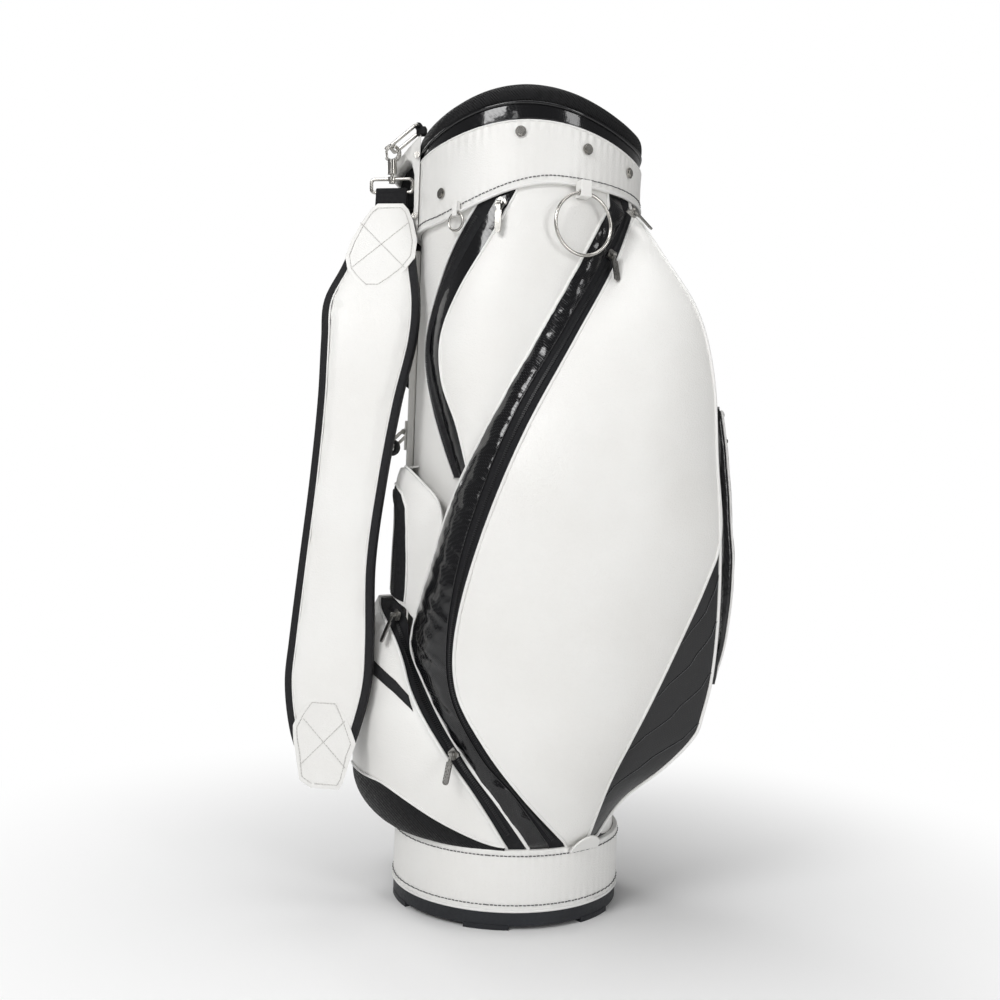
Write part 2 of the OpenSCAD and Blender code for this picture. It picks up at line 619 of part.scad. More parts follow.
// ---------- Zip sliders and pulls ----------
// Rows [closed end, open end, bearing of the outward normal, lift of the hanging pull]; the
// bearing is 0 at the right side and 90 at the front
ZIP_SIDE = [[98, -81.4, 680], [80, -111.4, 636], 38, 0];
ZIP_UPPER = [[-11, -122.8, 722], [-36, -118, 682], -14, 0];
ZIP_FRONT = [[116, -60, 728], [142, -68, 700], 62, 0];
ZIP_ARCH = [[-107, -101, 306], [-121, -84, 318], -50, 22];
ZIP_LOWER = [[-34, -144, 178], [-60, -134, 208], -20, 18];
ZIP_BALL = [[223, 68, 500], [226, 68, 380], 180, 0];
function mirrored_zip(zip) = [[zip[0][0], -zip[0][1], zip[0][2]],
                              [zip[1][0], -zip[1][1], zip[1][2]], 180 - zip[2], zip[3]];
LUG = 4.6;      // height of the pull's pin above the middle of the slider
PIN_R = 0.9;
// Way from the closed end to the open end as [along, inward, up] seen along the bearing
function zip_way(zip) =
    let (d = zip[1] - zip[0], t = turned([d[0], d[1]], -zip[2])) unit([t[0], t[1], d[2]]);
// Elevation of the slider's outward normal, square to the zip
function zip_tilt(zip) = let (v = zip_way(zip)) atan(v[1] / v[2]);
// Moves a child onto the zip at its closed end: -Y outwards, X level
module on_zip(zip) {
    translate(zip[0]) rotate([0, 0, zip[2]]) rotate([-zip_tilt(zip), 0, 0]) children();
}
module slider(zip) {
    v = turned([zip_way(zip)[1], zip_way(zip)[2]], zip_tilt(zip));
    color(METAL) on_zip(zip) {
        rotate([0, atan2(zip_way(zip)[0], v[1]), 0]) {
            cube([8, 3, 9], center = true);
            for (s = [-1, 1]) translate([s * 2, 0, -3]) rotate([90, 0, 0])
                cylinder(h = 3, r = 3, center = true, $fn = 24);
        }
        translate([0, -LUG, 0]) rotate([0, 90, 0])
            cylinder(h = 6.4, r = PIN_R, center = true, $fn = 24);
        for (s = [-1, 1]) translate([s * 2.8 - 0.6, -LUG - PIN_R, -1.4]) cube([1.2, LUG, 2.8]);
    }
}
// Tab that hangs from the slider's pin and lies along the pocket below it
module pull(zip) {
    plate = 1.6;
    color(METAL) on_zip(zip) translate([0, -LUG, 0])
        rotate([min(zip_tilt(zip), 0) - zip[3], 0, 0]) difference() {
            union() {
                rotate([0, 90, 0]) cylinder(h = 3.6, r = 2.2, center = true, $fn = 32);
                translate([-1.8, -plate / 2, -9]) cube([3.6, plate, 8]);
                translate([-3.2, -plate / 2, -pull_len + 3]) cube([6.4, plate, pull_len - 11]);
                translate([0, plate / 2, -pull_len + 3]) rotate([90, 0, 0])
                    cylinder(h = plate, r = 3.2, $fn = 32);
            }
            rotate([0, 90, 0]) cylinder(h = 8, r = PIN_R + 0.08, center = true, $fn = 24);
        }
}
module side_slider_right() { slider(ZIP_SIDE); }
module side_pull_right() { pull(ZIP_SIDE); }
module side_slider_left() { slider(mirrored_zip(ZIP_SIDE)); }
module side_pull_left() { pull(mirrored_zip(ZIP_SIDE)); }
module upper_slider_right() { slider(ZIP_UPPER); }
module upper_pull_right() { pull(ZIP_UPPER); }
module upper_slider_left() { slider(mirrored_zip(ZIP_UPPER)); }
module upper_pull_left() { pull(mirrored_zip(ZIP_UPPER)); }
module front_slider() { slider(ZIP_FRONT); }
module front_pull() { pull(ZIP_FRONT); }
module arch_slider() { slider(ZIP_ARCH); }
module arch_pull() { pull(ZIP_ARCH); }
module lower_slider_right() { slider(ZIP_LOWER); }
module lower_pull_right() { pull(ZIP_LOWER); }
module lower_slider_left() { slider(mirrored_zip(ZIP_LOWER)); }
module lower_pull_left() { pull(mirrored_zip(ZIP_LOWER)); }
module ball_slider() { slider(ZIP_BALL); }
module ball_pull() { pull(ZIP_BALL); }

base_boot();
base_plate();
base_band();
body_tube();
trunk_skin();
divider_frame();
divider_panels();
cuff_band();
collar_band();
collar_pad();
hood_studs();
spine_bracket();
bracket_rivets();
spine_panel();
carry_handle();
side_pocket_right();
side_pocket_left();
upper_pocket_right();
upper_pocket_left();
arch_pocket_right();
arch_pocket_left();
lower_pocket_right();
lower_pocket_left();
front_pocket();
ball_pocket();
base_tab();
ring_tabs();
link_anchor();
d_ring_tab();
towel_ring();
small_ring();
strap_link();
d_ring();
snap_hook();
hook_gate();
swivel_loop();
webbing_top();
strap_pad();
strap_patches();
webbing_bottom();
strap_adjuster();
side_slider_right();
side_pull_right();
side_slider_left();
side_pull_left();
upper_slider_right();
upper_pull_right();
upper_slider_left();
upper_pull_left();
front_slider();
front_pull();
arch_slider();
arch_pull();
lower_slider_right();
lower_pull_right();
lower_slider_left();
lower_pull_left();
ball_slider();
ball_pull();
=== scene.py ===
"""Looks for the golf staff bag: leathercloth, patent bands, piping, stitches, padding and webbing.

Lengths are in millimetres inside the helpers and become metres when a mesh is made. The seams are
drawn on the left side (+Y) and mirrored for the right one. Bearings are 0 at the right side (-Y) and
90 at the ball pocket (+X).
"""

import json
import math

import bmesh
import bpy
import numpy as np
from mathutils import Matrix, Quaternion, Vector, noise
from mathutils.bvhtree import BVHTree

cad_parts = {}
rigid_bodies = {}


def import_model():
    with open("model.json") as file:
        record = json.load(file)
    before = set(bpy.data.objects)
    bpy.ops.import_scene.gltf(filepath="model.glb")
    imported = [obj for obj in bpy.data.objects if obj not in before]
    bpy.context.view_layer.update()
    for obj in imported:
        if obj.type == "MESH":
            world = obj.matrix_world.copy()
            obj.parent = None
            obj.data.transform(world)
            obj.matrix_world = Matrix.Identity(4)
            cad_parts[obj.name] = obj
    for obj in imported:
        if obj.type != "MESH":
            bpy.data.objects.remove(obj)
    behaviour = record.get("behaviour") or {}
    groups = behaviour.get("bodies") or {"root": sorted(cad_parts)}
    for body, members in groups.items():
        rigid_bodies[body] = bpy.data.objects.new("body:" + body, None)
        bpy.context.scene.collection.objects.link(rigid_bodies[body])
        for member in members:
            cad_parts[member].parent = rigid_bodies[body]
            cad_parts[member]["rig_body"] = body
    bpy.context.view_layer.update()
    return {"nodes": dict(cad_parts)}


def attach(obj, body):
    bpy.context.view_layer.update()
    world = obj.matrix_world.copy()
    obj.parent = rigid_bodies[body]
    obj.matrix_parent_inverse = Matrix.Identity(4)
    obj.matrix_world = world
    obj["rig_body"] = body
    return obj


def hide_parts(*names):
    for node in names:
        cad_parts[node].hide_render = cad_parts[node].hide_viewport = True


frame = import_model()

MM = 0.001
SIDES = {"right": -1, "left": 1}

# ---------- Driving sizes, as in the CAD part ----------
TUBE_R = 114
SKIN_R = 116
CUFF_R = 121.6
BASE_R = 122
BASE_LOW, BASE_TOP = 18, 80
RIM_LOW, RIM_RISE, PAD_H = 819, 25, 20
FRONT_CROWN = 4
BALL_HALF, BALL_LOW, BALL_TOP, BALL_EDGE_R = 62, 247, 531, 5
PAD_T = 11

# ---------- Seams: rows [z, x, y] ----------
UPPER_FOOT = [[446, -51, 104], [476, -64, 98], [520, -81, 84], [566, -92, 71.5], [605, -91, 73],
              [657, -74, 90], [691, -58, 101.5], [730, -34, 111.5]]
UPPER_EDGE = [[455, -33, 130], [500, -46, 129], [545, -64, 122], [590, -67, 118],
              [636, -50, 121], [690, -20, 119.5], [735, 4, 119.5]]
DIAGONAL = [[80, 41, 115], [125, 11, 129], [160, -17, 133], [200, -47, 127], [235, -70, 114],
            [270, -90, 99], [300, -88, 98], [343, -75, 108], [431, -46, 126], [513, -7, 134],
            [585, 29, 125], [661, 64, 103], [732, 93, 76]]
TAPE = [[80, 61, 106], [136, 25, 129], [171, -6, 137], [230, -38, 144], [289, -44, 149],
        [368, -33, 155], [456, -7, 155], [523, 19, 147], [592, 53, 127], [672, 87, 87],
        [732, 109, 57]]
FACE_REAR = [[80, 79, 96], [140, 33, 137], [190, -3, 153], [240, -30, 157], [300, -32, 162],
             [390, -10, 168], [490, 26, 161], [590, 70, 126], [670, 101, 74], [732, 117, 40]]
SHARED = [[395, 217, 81], [476, 211, 83], [560, 204, 79], [626, 186, 72], [687, 148, 58],
          [732, 119, 38]]
FACE_FRONT = [[80, 93, 80], [148, 116, 94], [190, 135, 98], [231, 154, 98], [294, 181, 94],
              [351, 204, 88]] + SHARED
FRONT_EDGE = [[80, 100, 67], [125, 129, 64], [160, 170, 62], [193, 199, 61], [214, 206, 62],
              [254, 214, 66], [315, 218, 73]] + SHARED
ARCH_FRONT = [[300, -89, 97], [343, -76, 106], [400, -60, 116], [425, -66, 113],
              [440, -82, 104], [452, -98, 88], [460, -112, 66]]
LOWER_FOOT = [[80, 38, 116], [125, 11, 129], [160, -17, 133], [200, -47, 127], [235, -70, 114],
              [270, -91, 99], [299, -95, 102], [312, -104, 93], [321, -116, 74]]
LOWER_EDGE = [[80, 19, 121], [109, 2, 128], [141, -18, 137], [169, -39, 140], [199, -62, 135],
              [218, -76, 127], [238, -87, 121], [260, -95, 116], [280, -106, 106],
              [297, -119, 93], [309, -132, 70], [321, -136, 56]]
LOWER_REAR = [[80, -120, 36], [95, -142, 36], [110, -158, 36], [140, -166, 36],
              [200, -166, 36], [260, -158, 36], [300, -148, 36], [321, -138, 36]]
BALL_EDGE = [[240, 215, 0], [273, 224, 0], [304, 229, 0], [345, 232, 0], [385, 231, 0],
             [426, 228, 0], [486, 221, 0], [515, 217, 0], [536, 213, 0]]


def hermite(rows, z):
    """The other columns of a list of rows at the value z of their first column."""
    rows = np.array(rows, float)
    z = min(max(z, rows[0, 0]), rows[-1, 0])
    i = int(min(np.searchsorted(rows[:, 0], z, side="right") - 1, len(rows) - 2))

    def slope(k):
        a, b = rows[max(k - 1, 0)], rows[min(k + 1, len(rows) - 1)]
        return (b - a) / (b[0] - a[0])

    a, b = rows[i], rows[i + 1]
    h = b[0] - a[0]
    t = (z - a[0]) / h
    p = ((2 * t**3 - 3 * t**2 + 1) * a + (t**3 - 2 * t**2 + t) * h * slope(i)
         + (3 * t**2 - 2 * t**3) * b + (t**3 - t**2) * h * slope(i + 1))
    return p[1:]


def smooth(t):
    t = min(max(t, 0.0), 1.0)
    return t * t * (3 - 2 * t)


TUCK_R = 117.6    # radius at which the covers disappear under the cuff and into the base band


def tucked(p, z):
    """Draws a point in under the cuff and into the base band."""
    t = max(smooth((z - 724) / 22), smooth((88 - z) / 10))
    r = math.hypot(p[0], p[1])
    return np.array(p[:2], float) * (1 + (TUCK_R / r - 1) * t)


def polar(bearing, r):
    """Point at a bearing from the right side towards the front, and a radius, on the left side."""
    a = math.radians(bearing)
    return np.array([r * math.sin(a), r * math.cos(a)])


def bearing_of(p):
    return math.degrees(math.atan2(p[0], p[1]))


def between(a, b, t, crown):
    """Point between a and b that turns evenly about the trunk, raised by a crown."""
    ra, rb = math.hypot(*a), math.hypot(*b)
    ta, tb = bearing_of(a), bearing_of(b)
    return polar(ta + (tb - ta) * t, ra + (rb - ra) * t + crown * 4 * t * (1 - t))


def bowed(a, b, t, crown):
    """Point on the chord from a to b, moved away from the axis by a crown."""
    d = (b - a) / max(np.linalg.norm(b - a), 1e-6)
    n = np.array([-d[1], d[0]])
    if n @ (a + b) < 0:
        n = -n
    return a + (b - a) * t + n * crown * 4 * t * (1 - t)


def steps(low, high, pitch):
    return np.linspace(low, high, max(int(round((high - low) / pitch)), 1) + 1)


def wave_noise(p, size, seed=0.0):
    """Smooth noise from -1 to 1 at a point, with features of that size."""
    return noise.noise(Vector((p[0] / size + seed, p[1] / size - seed, p[2] / size + 2 * seed)))


# ---------- Mesh helpers ----------
def mesh_object(name, points, faces, material, crease=50):
    mesh = bpy.data.meshes.new(name)
    mesh.from_pydata([tuple(float(c) * MM for c in p) for p in points], [], faces)
    bm = bmesh.new()
    bm.from_mesh(mesh)
    bmesh.ops.remove_doubles(bm, verts=bm.verts, dist=2e-5)
    bmesh.ops.dissolve_degenerate(bm, edges=bm.edges, dist=1e-5)
    bmesh.ops.recalc_face_normals(bm, faces=bm.faces)
    for face in bm.faces:
        face.smooth = True
    for edge in bm.edges:
        if len(edge.link_faces) == 2 and edge.calc_face_angle(0) > math.radians(crease):
            edge.smooth = False
    bm.to_mesh(mesh)
    bm.free()
    mesh.materials.append(material)
    obj = bpy.data.objects.new(name, mesh)
    bpy.context.scene.collection.objects.link(obj)
    return obj


def grid_normals(grid, closed):
    """Unit normals of a grid of points, away from the Z axis."""
    if closed:
        wrapped = np.concatenate([grid[:, -1:], grid, grid[:, :1]], axis=1)
        across = np.gradient(wrapped, axis=1)[:, 1:-1]
    else:
        across = np.gradient(grid, axis=1)
    n = np.cross(np.gradient(grid, axis=0), across)
    n /= np.maximum(np.linalg.norm(n, axis=2, keepdims=True), 1e-9)
    out = grid * [1, 1, 0]
    return n if (n * out).sum() > 0 else -n


def slab(name, grid, thickness, material, closed=False):
    """Sheet of a thickness whose outer face goes through a grid of points."""
    grid = np.array(grid, float)
    m, n = grid.shape[:2]
    inner = grid - grid_normals(grid, closed) * thickness
    points = np.concatenate([grid.reshape(-1, 3), inner.reshape(-1, 3)])
    faces = []
    back = m * n
    last = n if closed else n - 1
    for i in range(m - 1):
        for j in range(last):
            k = (j + 1) % n
            a, b, c, d = i * n + j, i * n + k, (i + 1) * n + k, (i + 1) * n + j
            faces += [(a, b, c, d), (back + d, back + c, back + b, back + a)]
    for j in range(last):
        k = (j + 1) % n
        faces += [(j, back + j, back + k, k)]
        top = (m - 1) * n
        faces += [(top + k, back + top + k, back + top + j, top + j)]
    if not closed:
        for i in range(m - 1):
            a, b = i * n, (i + 1) * n
            faces += [(a, b, back + b, back + a)]
            a, b = a + n - 1, b + n - 1
            faces += [(b, a, back + a, back + b)]
    return mesh_object(name, points, faces, material)


def loft(name, sections, material, crease=50, ring=False):
    """Closed solid through closed sections, with a cap at each end or round a closed loop."""
    sections = np.array(sections, float)
    m, n = sections.shape[:2]
    faces = [(i * n + j, i * n + (j + 1) % n, (i + 1) % m * n + (j + 1) % n, (i + 1) % m * n + j)
             for i in range(m if ring else m - 1) for j in range(n)]
    if not ring:
        faces += [tuple(range(n)), tuple((m - 1) * n + j for j in range(n))]
    return mesh_object(name, sections.reshape(-1, 3), faces, material, crease)


def ring_surface(name, sections, material, crease=50):
    return loft(name, sections, material, crease, ring=True)


def quads(m, n):
    """Faces of a grid of m by n points."""
    return [(i * n + j, i * n + j + 1, (i + 1) * n + j + 1, (i + 1) * n + j)
            for i in range(m - 1) for j in range(n - 1)]


def evaluated(obj):
    """Turns an object's modifiers into its mesh."""
    depsgraph = bpy.context.evaluated_depsgraph_get()
    mesh = bpy.data.meshes.new_from_object(obj.evaluated_get(depsgraph))
    obj.modifiers.clear()
    obj.data = mesh
    return mesh


def shade_smooth(mesh):
    for face in mesh.polygons:
        face.use_smooth = True


def resampled(path, pitch):
    """Points an even distance apart along a path."""
    path = np.array(path, float)
    far = np.concatenate([[0], np.cumsum(np.linalg.norm(np.diff(path, axis=0), axis=1))])
    at = np.linspace(0, far[-1], max(int(far[-1] / pitch), 2) + 1)
    return np.stack([np.interp(at, far, path[:, i]) for i in range(3)], axis=1)


def tube_sections(path, radius, closed, count, up=None):
    """Round sections along a path, which start from the way up."""
    path = np.array(path, float)
    if closed:
        way = np.roll(path, -1, axis=0) - np.roll(path, 1, axis=0)
    else:
        way = np.gradient(path, axis=0)
    way /= np.maximum(np.linalg.norm(way, axis=1, keepdims=True), 1e-9)
    side = np.array(up if up is not None else [0.3, 0.2, 1.0], float)
    rows = []
    for p, w in zip(path, way):
        side = side - w * (side @ w)
        side /= np.linalg.norm(side)
        other = np.cross(w, side)
        rows.append([p + radius * (other * math.cos(a) + side * math.sin(a))
                     for a in np.arange(count) * 2 * math.pi / count])
    return np.array(rows)


def tube(name, path, radius, material, closed=False, count=10, up=None):
    sections = tube_sections(path, radius, closed, count, up)
    return loft(name, sections, material, 60, closed)


def dashes(name, path, material, pitch=4.2, length=3.0, radius=0.55):
    """A row of stitches along a path, each a short capped thread lying along it."""
    dense = resampled(path, 0.7)
    per = max(int(round(length / 0.7)), 3)
    step = max(int(round(pitch / 0.7)), per + 1)
    points, faces, count = [], [], 6
    for start in range(0, len(dense) - per, step):
        run = np.array(dense[start:start + per + 1])
        way = run[-1] - run[0]
        size = np.linalg.norm(way)
        if size < 1:
            continue
        sections = tube_sections(run[[0, per // 2, per]], radius, False, count)
        base = len(points)
        points += list(sections.reshape(-1, 3))
        faces += [(base + i * count + j, base + i * count + (j + 1) % count,
                   base + (i + 1) * count + (j + 1) % count, base + (i + 1) * count + j)
                  for i in range(2) for j in range(count)]
        faces += [tuple(base + j for j in range(count)), tuple(base + 2 * count + j for j in range(count))]
    return mesh_object(name, points, faces, material, 60)


def teeth(name, grid, column, material, pitch=2.2, size=(4.2, 1.3, 1.6)):
    """The coil of a zip: a row of small blocks along a column of a grid, square to it."""
    normals = grid_normals(grid, False)
    line, out = grid[:, column], normals[:, column]
    far = np.concatenate([[0], np.cumsum(np.linalg.norm(np.diff(line, axis=0), axis=1))])
    points, faces = [], []
    for at in np.arange(pitch, far[-1] - pitch, pitch):
        p = np.array([np.interp(at, far, line[:, i]) for i in range(3)])
        q = np.array([np.interp(at + 0.5, far, line[:, i]) for i in range(3)])
        n = np.array([np.interp(at, far, out[:, i]) for i in range(3)])
        way = (q - p) / np.linalg.norm(q - p)
        side = np.cross(way, n)
        side /= np.linalg.norm(side)
        base = len(points)
        for w in (-0.5, 0.5):
            for s, h in ((-0.5, 0), (-0.36, 1), (0.36, 1), (0.5, 0)):
                points.append(p + way * size[1] * w + side * size[0] * s + n * (size[2] * h - 0.3))
        faces += [(base, base + 1, base + 2, base + 3), (base + 7, base + 6, base + 5, base + 4)]
        faces += [(base + i, base + 4 + i, base + 4 + (i + 1) % 4, base + (i + 1) % 4) for i in range(4)]
    return mesh_object(name, points, faces, material, 30)


def mirrored(grid, s):
    return np.array(grid, float) * [1, s, 1]


# ---------- Materials ----------
def shader(name, colour, roughness, **more):
    mat = bpy.data.materials.new(name)
    mat.use_nodes = True
    bsdf = mat.node_tree.nodes["Principled BSDF"]
    bsdf.inputs["Base Color"].default_value = (*colour, 1)
    bsdf.inputs["Roughness"].default_value = roughness
    for key, value in more.items():
        bsdf.inputs[key.replace("_", " ")].default_value = value
    return mat, mat.node_tree.nodes, mat.node_tree.links, bsdf


def node_with(nodes, kind, **values):
    """New node with values on its inputs; an underscore stands for a space."""
    node = nodes.new(kind)
    for key, value in values.items():
        node.inputs[key.replace("_", " ")].default_value = value
    return node


def object_coords(nodes, links, scale=(1, 1, 1), turn=(0, 0, 0)):
    coords = nodes.new("ShaderNodeTexCoord")
    mapping = node_with(nodes, "ShaderNodeMapping", Scale=scale, Rotation=turn)
    links.new(coords.outputs["Object"], mapping.inputs["Vector"])
    return mapping.outputs["Vector"]


def noise_node(nodes, links, vector, scale, detail=3.0):
    node = node_with(nodes, "ShaderNodeTexNoise", Scale=scale, Detail=detail)
    links.new(vector, node.inputs["Vector"])
    return node.outputs["Fac"]


def spread(nodes, links, value, low, high):
    """A value from 0 to 1 spread from low to high."""
    node = node_with(nodes, "ShaderNodeMapRange", From_Min=0.3, From_Max=0.7, To_Min=low, To_Max=high)
    links.new(value, node.inputs["Value"])
    return node.outputs["Result"]


def maths(nodes, links, operation, a, b):
    node = nodes.new("ShaderNodeMath")
    node.operation = operation
    for i, value in enumerate((a, b)):
        if isinstance(value, (int, float)):
            node.inputs[i].default_value = value
        else:
            links.new(value, node.inputs[i])
    return node.outputs[0]


def bump(nodes, links, height, distance, bsdf, strength=1.0, under=None):
    node = node_with(nodes, "ShaderNodeBump", Strength=strength, Distance=distance)
    links.new(height, node.inputs["Height"])
    if under is not None:
        links.new(under, node.inputs["Normal"])
    if bsdf is not None:
        links.new(node.outputs["Normal"], bsdf.inputs["Normal"])
    return node.outputs["Normal"]


def ramp(nodes, links, value, low, high):
    """Colour from low to high with a value."""
    node = nodes.new("ShaderNodeValToRGB")
    node.color_ramp.elements[0].position = 0.3
    node.color_ramp.elements[1].position = 0.7
    node.color_ramp.elements[0].color = (*low, 1)
    node.color_ramp.elements[1].color = (*high, 1)
    links.new(value, node.inputs["Fac"])
    return node.outputs["Color"]


def leather(name, low, high, rough, grain=700, depth=0.00016, coat=0.0):
    """Leathercloth: cellular grain, soft dents, and a little colour and gloss variation."""
    mat, nodes, links, bsdf = shader(name, high, rough, Coat_Weight=coat, Coat_Roughness=0.25)
    vector = object_coords(nodes, links)
    cells = node_with(nodes, "ShaderNodeTexVoronoi", Scale=grain)
    links.new(vector, cells.inputs["Vector"])
    fine = noise_node(nodes, links, vector, grain * 0.6)
    height = maths(nodes, links, "ADD", cells.outputs["Distance"], fine)
    dents = bump(nodes, links, noise_node(nodes, links, vector, 28), 0.0012, None, 0.5)
    bump(nodes, links, height, depth, bsdf, 1.0, dents)
    patches = noise_node(nodes, links, vector, 9)
    links.new(ramp(nodes, links, patches, low, high), bsdf.inputs["Base Color"])
    links.new(spread(nodes, links, fine, rough - 0.06, rough + 0.08), bsdf.inputs["Roughness"])
    return mat


def patent(name, pattern=0.00012, rough=0.16):
    """Glossy patent leathercloth with a fine woven relief under its coat."""
    mat, nodes, links, bsdf = shader(name, (0.004, 0.004, 0.005), rough, Coat_Weight=0.55,
                                     Coat_Roughness=0.06, Specular_IOR_Level=0.3)
    vector = object_coords(nodes, links)
    waves = []
    for turn in (0.7, -0.8):
        wave = node_with(nodes, "ShaderNodeTexWave", Scale=190, Distortion=0.6)
        links.new(object_coords(nodes, links, turn=(turn, turn, turn)), wave.inputs["Vector"])
        waves.append(wave.outputs["Fac"])
    weave = maths(nodes, links, "MULTIPLY", waves[0], waves[1])
    dents = bump(nodes, links, noise_node(nodes, links, vector, 45), 0.0016, None, 0.45)
    bump(nodes, links, weave, pattern, bsdf, 0.7, dents)
    links.new(spread(nodes, links, weave, rough, rough + 0.14), bsdf.inputs["Roughness"])
    links.new(dents, bsdf.inputs["Coat Normal"])
    return mat


def woven(name, low, high, scale=420, depth=0.0004, rough=0.8, turns=((0, 0, 0), (0, 1.5708, 0))):
    """Woven tape or webbing: two crossing sets of ribs."""
    mat, nodes, links, bsdf = shader(name, high, rough, Specular_IOR_Level=0.22)
    ribs = []
    for turn in turns:
        wave = node_with(nodes, "ShaderNodeTexWave", Scale=scale)
        links.new(object_coords(nodes, links, turn=turn), wave.inputs["Vector"])
        ribs.append(wave.outputs["Fac"])
    weave = maths(nodes, links, "MAXIMUM", ribs[0], ribs[1])
    bump(nodes, links, weave, depth, bsdf)
    links.new(ramp(nodes, links, weave, low, high), bsdf.inputs["Base Color"])
    fuzz = noise_node(nodes, links, object_coords(nodes, links), 300)
    links.new(spread(nodes, links, fuzz, rough - 0.1, rough + 0.1), bsdf.inputs["Roughness"])
    return mat


def metal(name, low, high, rough):
    mat, nodes, links, bsdf = shader(name, high, rough, Metallic=1.0)
    vector = object_coords(nodes, links)
    cloud = noise_node(nodes, links, vector, 90)
    links.new(ramp(nodes, links, cloud, low, high), bsdf.inputs["Base Color"])
    scratch = noise_node(nodes, links, object_coords(nodes, links, (1, 1, 0.08)), 1400)
    links.new(spread(nodes, links, scratch, rough - 0.05, rough + 0.1), bsdf.inputs["Roughness"])
    bump(nodes, links, scratch, 0.00002, bsdf, 0.5)
    return mat


def moulded(name, low, high, rough, grain=500, depth=0.00008):
    mat, nodes, links, bsdf = shader(name, high, rough)
    vector = object_coords(nodes, links)
    fine = noise_node(nodes, links, vector, grain)
    links.new(ramp(nodes, links, noise_node(nodes, links, vector, 22), low, high),
              bsdf.inputs["Base Color"])
    links.new(spread(nodes, links, fine, rough - 0.06, rough + 0.08), bsdf.inputs["Roughness"])
    bump(nodes, links, fine, depth, bsdf)
    return mat


WHITE = leather("white_leather", (0.80, 0.79, 0.765), (0.84, 0.835, 0.815), 0.42, coat=0.08)
WHITE_PADDED = leather("white_padded", (0.81, 0.80, 0.775), (0.85, 0.845, 0.825), 0.45, coat=0.06)
PIPING = leather("white_piping", (0.80, 0.795, 0.775), (0.85, 0.845, 0.83), 0.36, 900, 0.00006, 0.2)
PATENT = patent("black_patent")
GLOSS = patent("black_gloss", 0.00004, 0.1)
TAPE_CLOTH = woven("zip_tape", (0.006, 0.006, 0.007), (0.018, 0.018, 0.02), 330, 0.0003)
WEBBING_CLOTH = woven("webbing", (0.006, 0.006, 0.007), (0.02, 0.02, 0.022), 260, 0.0005)
BINDING = woven("binding", (0.008, 0.008, 0.009), (0.022, 0.022, 0.024), 420, 0.00025, 0.62)
COLLAR = woven("collar_cloth", (0.002, 0.002, 0.002), (0.009, 0.009, 0.01), 150, 0.0007, 0.55,
               ((0.8, 0.3, 0.8), (-0.8, 0.3, -0.8)))
THREAD = woven("dark_thread", (0.05, 0.05, 0.055), (0.12, 0.12, 0.125), 800, 0.0001)
WHITE_THREAD = woven("white_thread", (0.5, 0.49, 0.47), (0.68, 0.67, 0.65), 800, 0.0001)
COIL = moulded("zip_coil", (0.006, 0.006, 0.007), (0.016, 0.016, 0.018), 0.4)
CHROME = metal("chrome", (0.42, 0.405, 0.38), (0.60, 0.585, 0.555), 0.16)
ZIP_METAL = metal("zip_metal", (0.26, 0.255, 0.24), (0.42, 0.41, 0.39), 0.28)
RUBBER = moulded("boot_rubber", (0.004, 0.005, 0.008), (0.009, 0.011, 0.016), 0.5, 350, 0.00015)
PLASTIC = moulded("dark_plastic", (0.012, 0.012, 0.013), (0.022, 0.022, 0.024), 0.5)
PILE = woven("divider_pile", (0.012, 0.012, 0.014), (0.03, 0.03, 0.033), 500, 0.0003, 0.9)

CAD_MATERIALS = {
    "boot_rubber": RUBBER, "plate_plastic": PLASTIC, "divider_fabric": PILE,
    "tube_plastic": PLASTIC, "chrome": CHROME, "zip_metal": ZIP_METAL,
}


def dress_cad():
    """Gives every CAD node the detailed material of its slot."""
    for node in frame["nodes"].values():
        for holder in node.material_slots:
            known = holder.material.name.split(".")[0] if holder.material else ""
            best = CAD_MATERIALS.get(known)
            if best is None:
                best = BINDING if known.startswith("black") else WHITE
            holder.material = best


def place(obj, body, slot_name, *nodes):
    """Sets what a piece rides on and hides the CAD nodes it stands for; slot_name is not used."""
    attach(obj, body)
    if nodes:
        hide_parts(*nodes)
    return obj


def piping(name, path, radius, closed=False):
    place(tube(name, path, radius, PIPING, closed), "bag", "white_leather")


def zip_tape(name, grid, thickness):
    place(slab(name, grid, thickness, TAPE_CLOTH), "bag", "black_fabric")


def coil(name, grid, column):
    place(teeth(name, grid, column, COIL), "bag", "black_fabric")


def patent_panel(name, grid, thickness):
    place(slab(name, grid, thickness, PATENT), "bag", "black_patent")


# ---------- Cuff edges ----------
def lean(a):
    """Angle from the side of the bag towards its front, for a bearing in degrees."""
    r = math.radians(a)
    return math.degrees(math.atan2(math.sin(r), abs(math.cos(r))))


def hump(s):
    return math.cos(math.radians(s)) ** 2 if abs(s) < 90 else 0.0


def rim_z(a):
    return RIM_LOW + 0.05 * lean(a) + RIM_RISE * hump(1.2 * (lean(a) - 4))


def cuff_top(a):
    return RIM_LOW - 32 + 19 * hump(1.2 * (lean(a) - 10))


def cuff_low(a):
    return 710 + 35.5 * smooth((lean(a) + 48) / 70)


ROUND = np.arange(0, 360, 2.0)


def around(a, r, z):
    """Point at a bearing round the whole bag: 0 at -Y, 90 at +X."""
    t = math.radians(a)
    return [r * math.sin(t), -r * math.cos(t), z]


def pucker(a, rise, pitch=9.0, size=0.8):
    """Small radial folds along a gathered edge, dying away with the distance from it."""
    arc = a * math.pi / 180 * CUFF_R
    wobble = noise.noise(Vector((arc / 23, 3.1, 0))) * 2.5
    return size * math.sin(2 * math.pi * (arc / pitch) + wobble) * math.exp(-abs(rise) / 9)


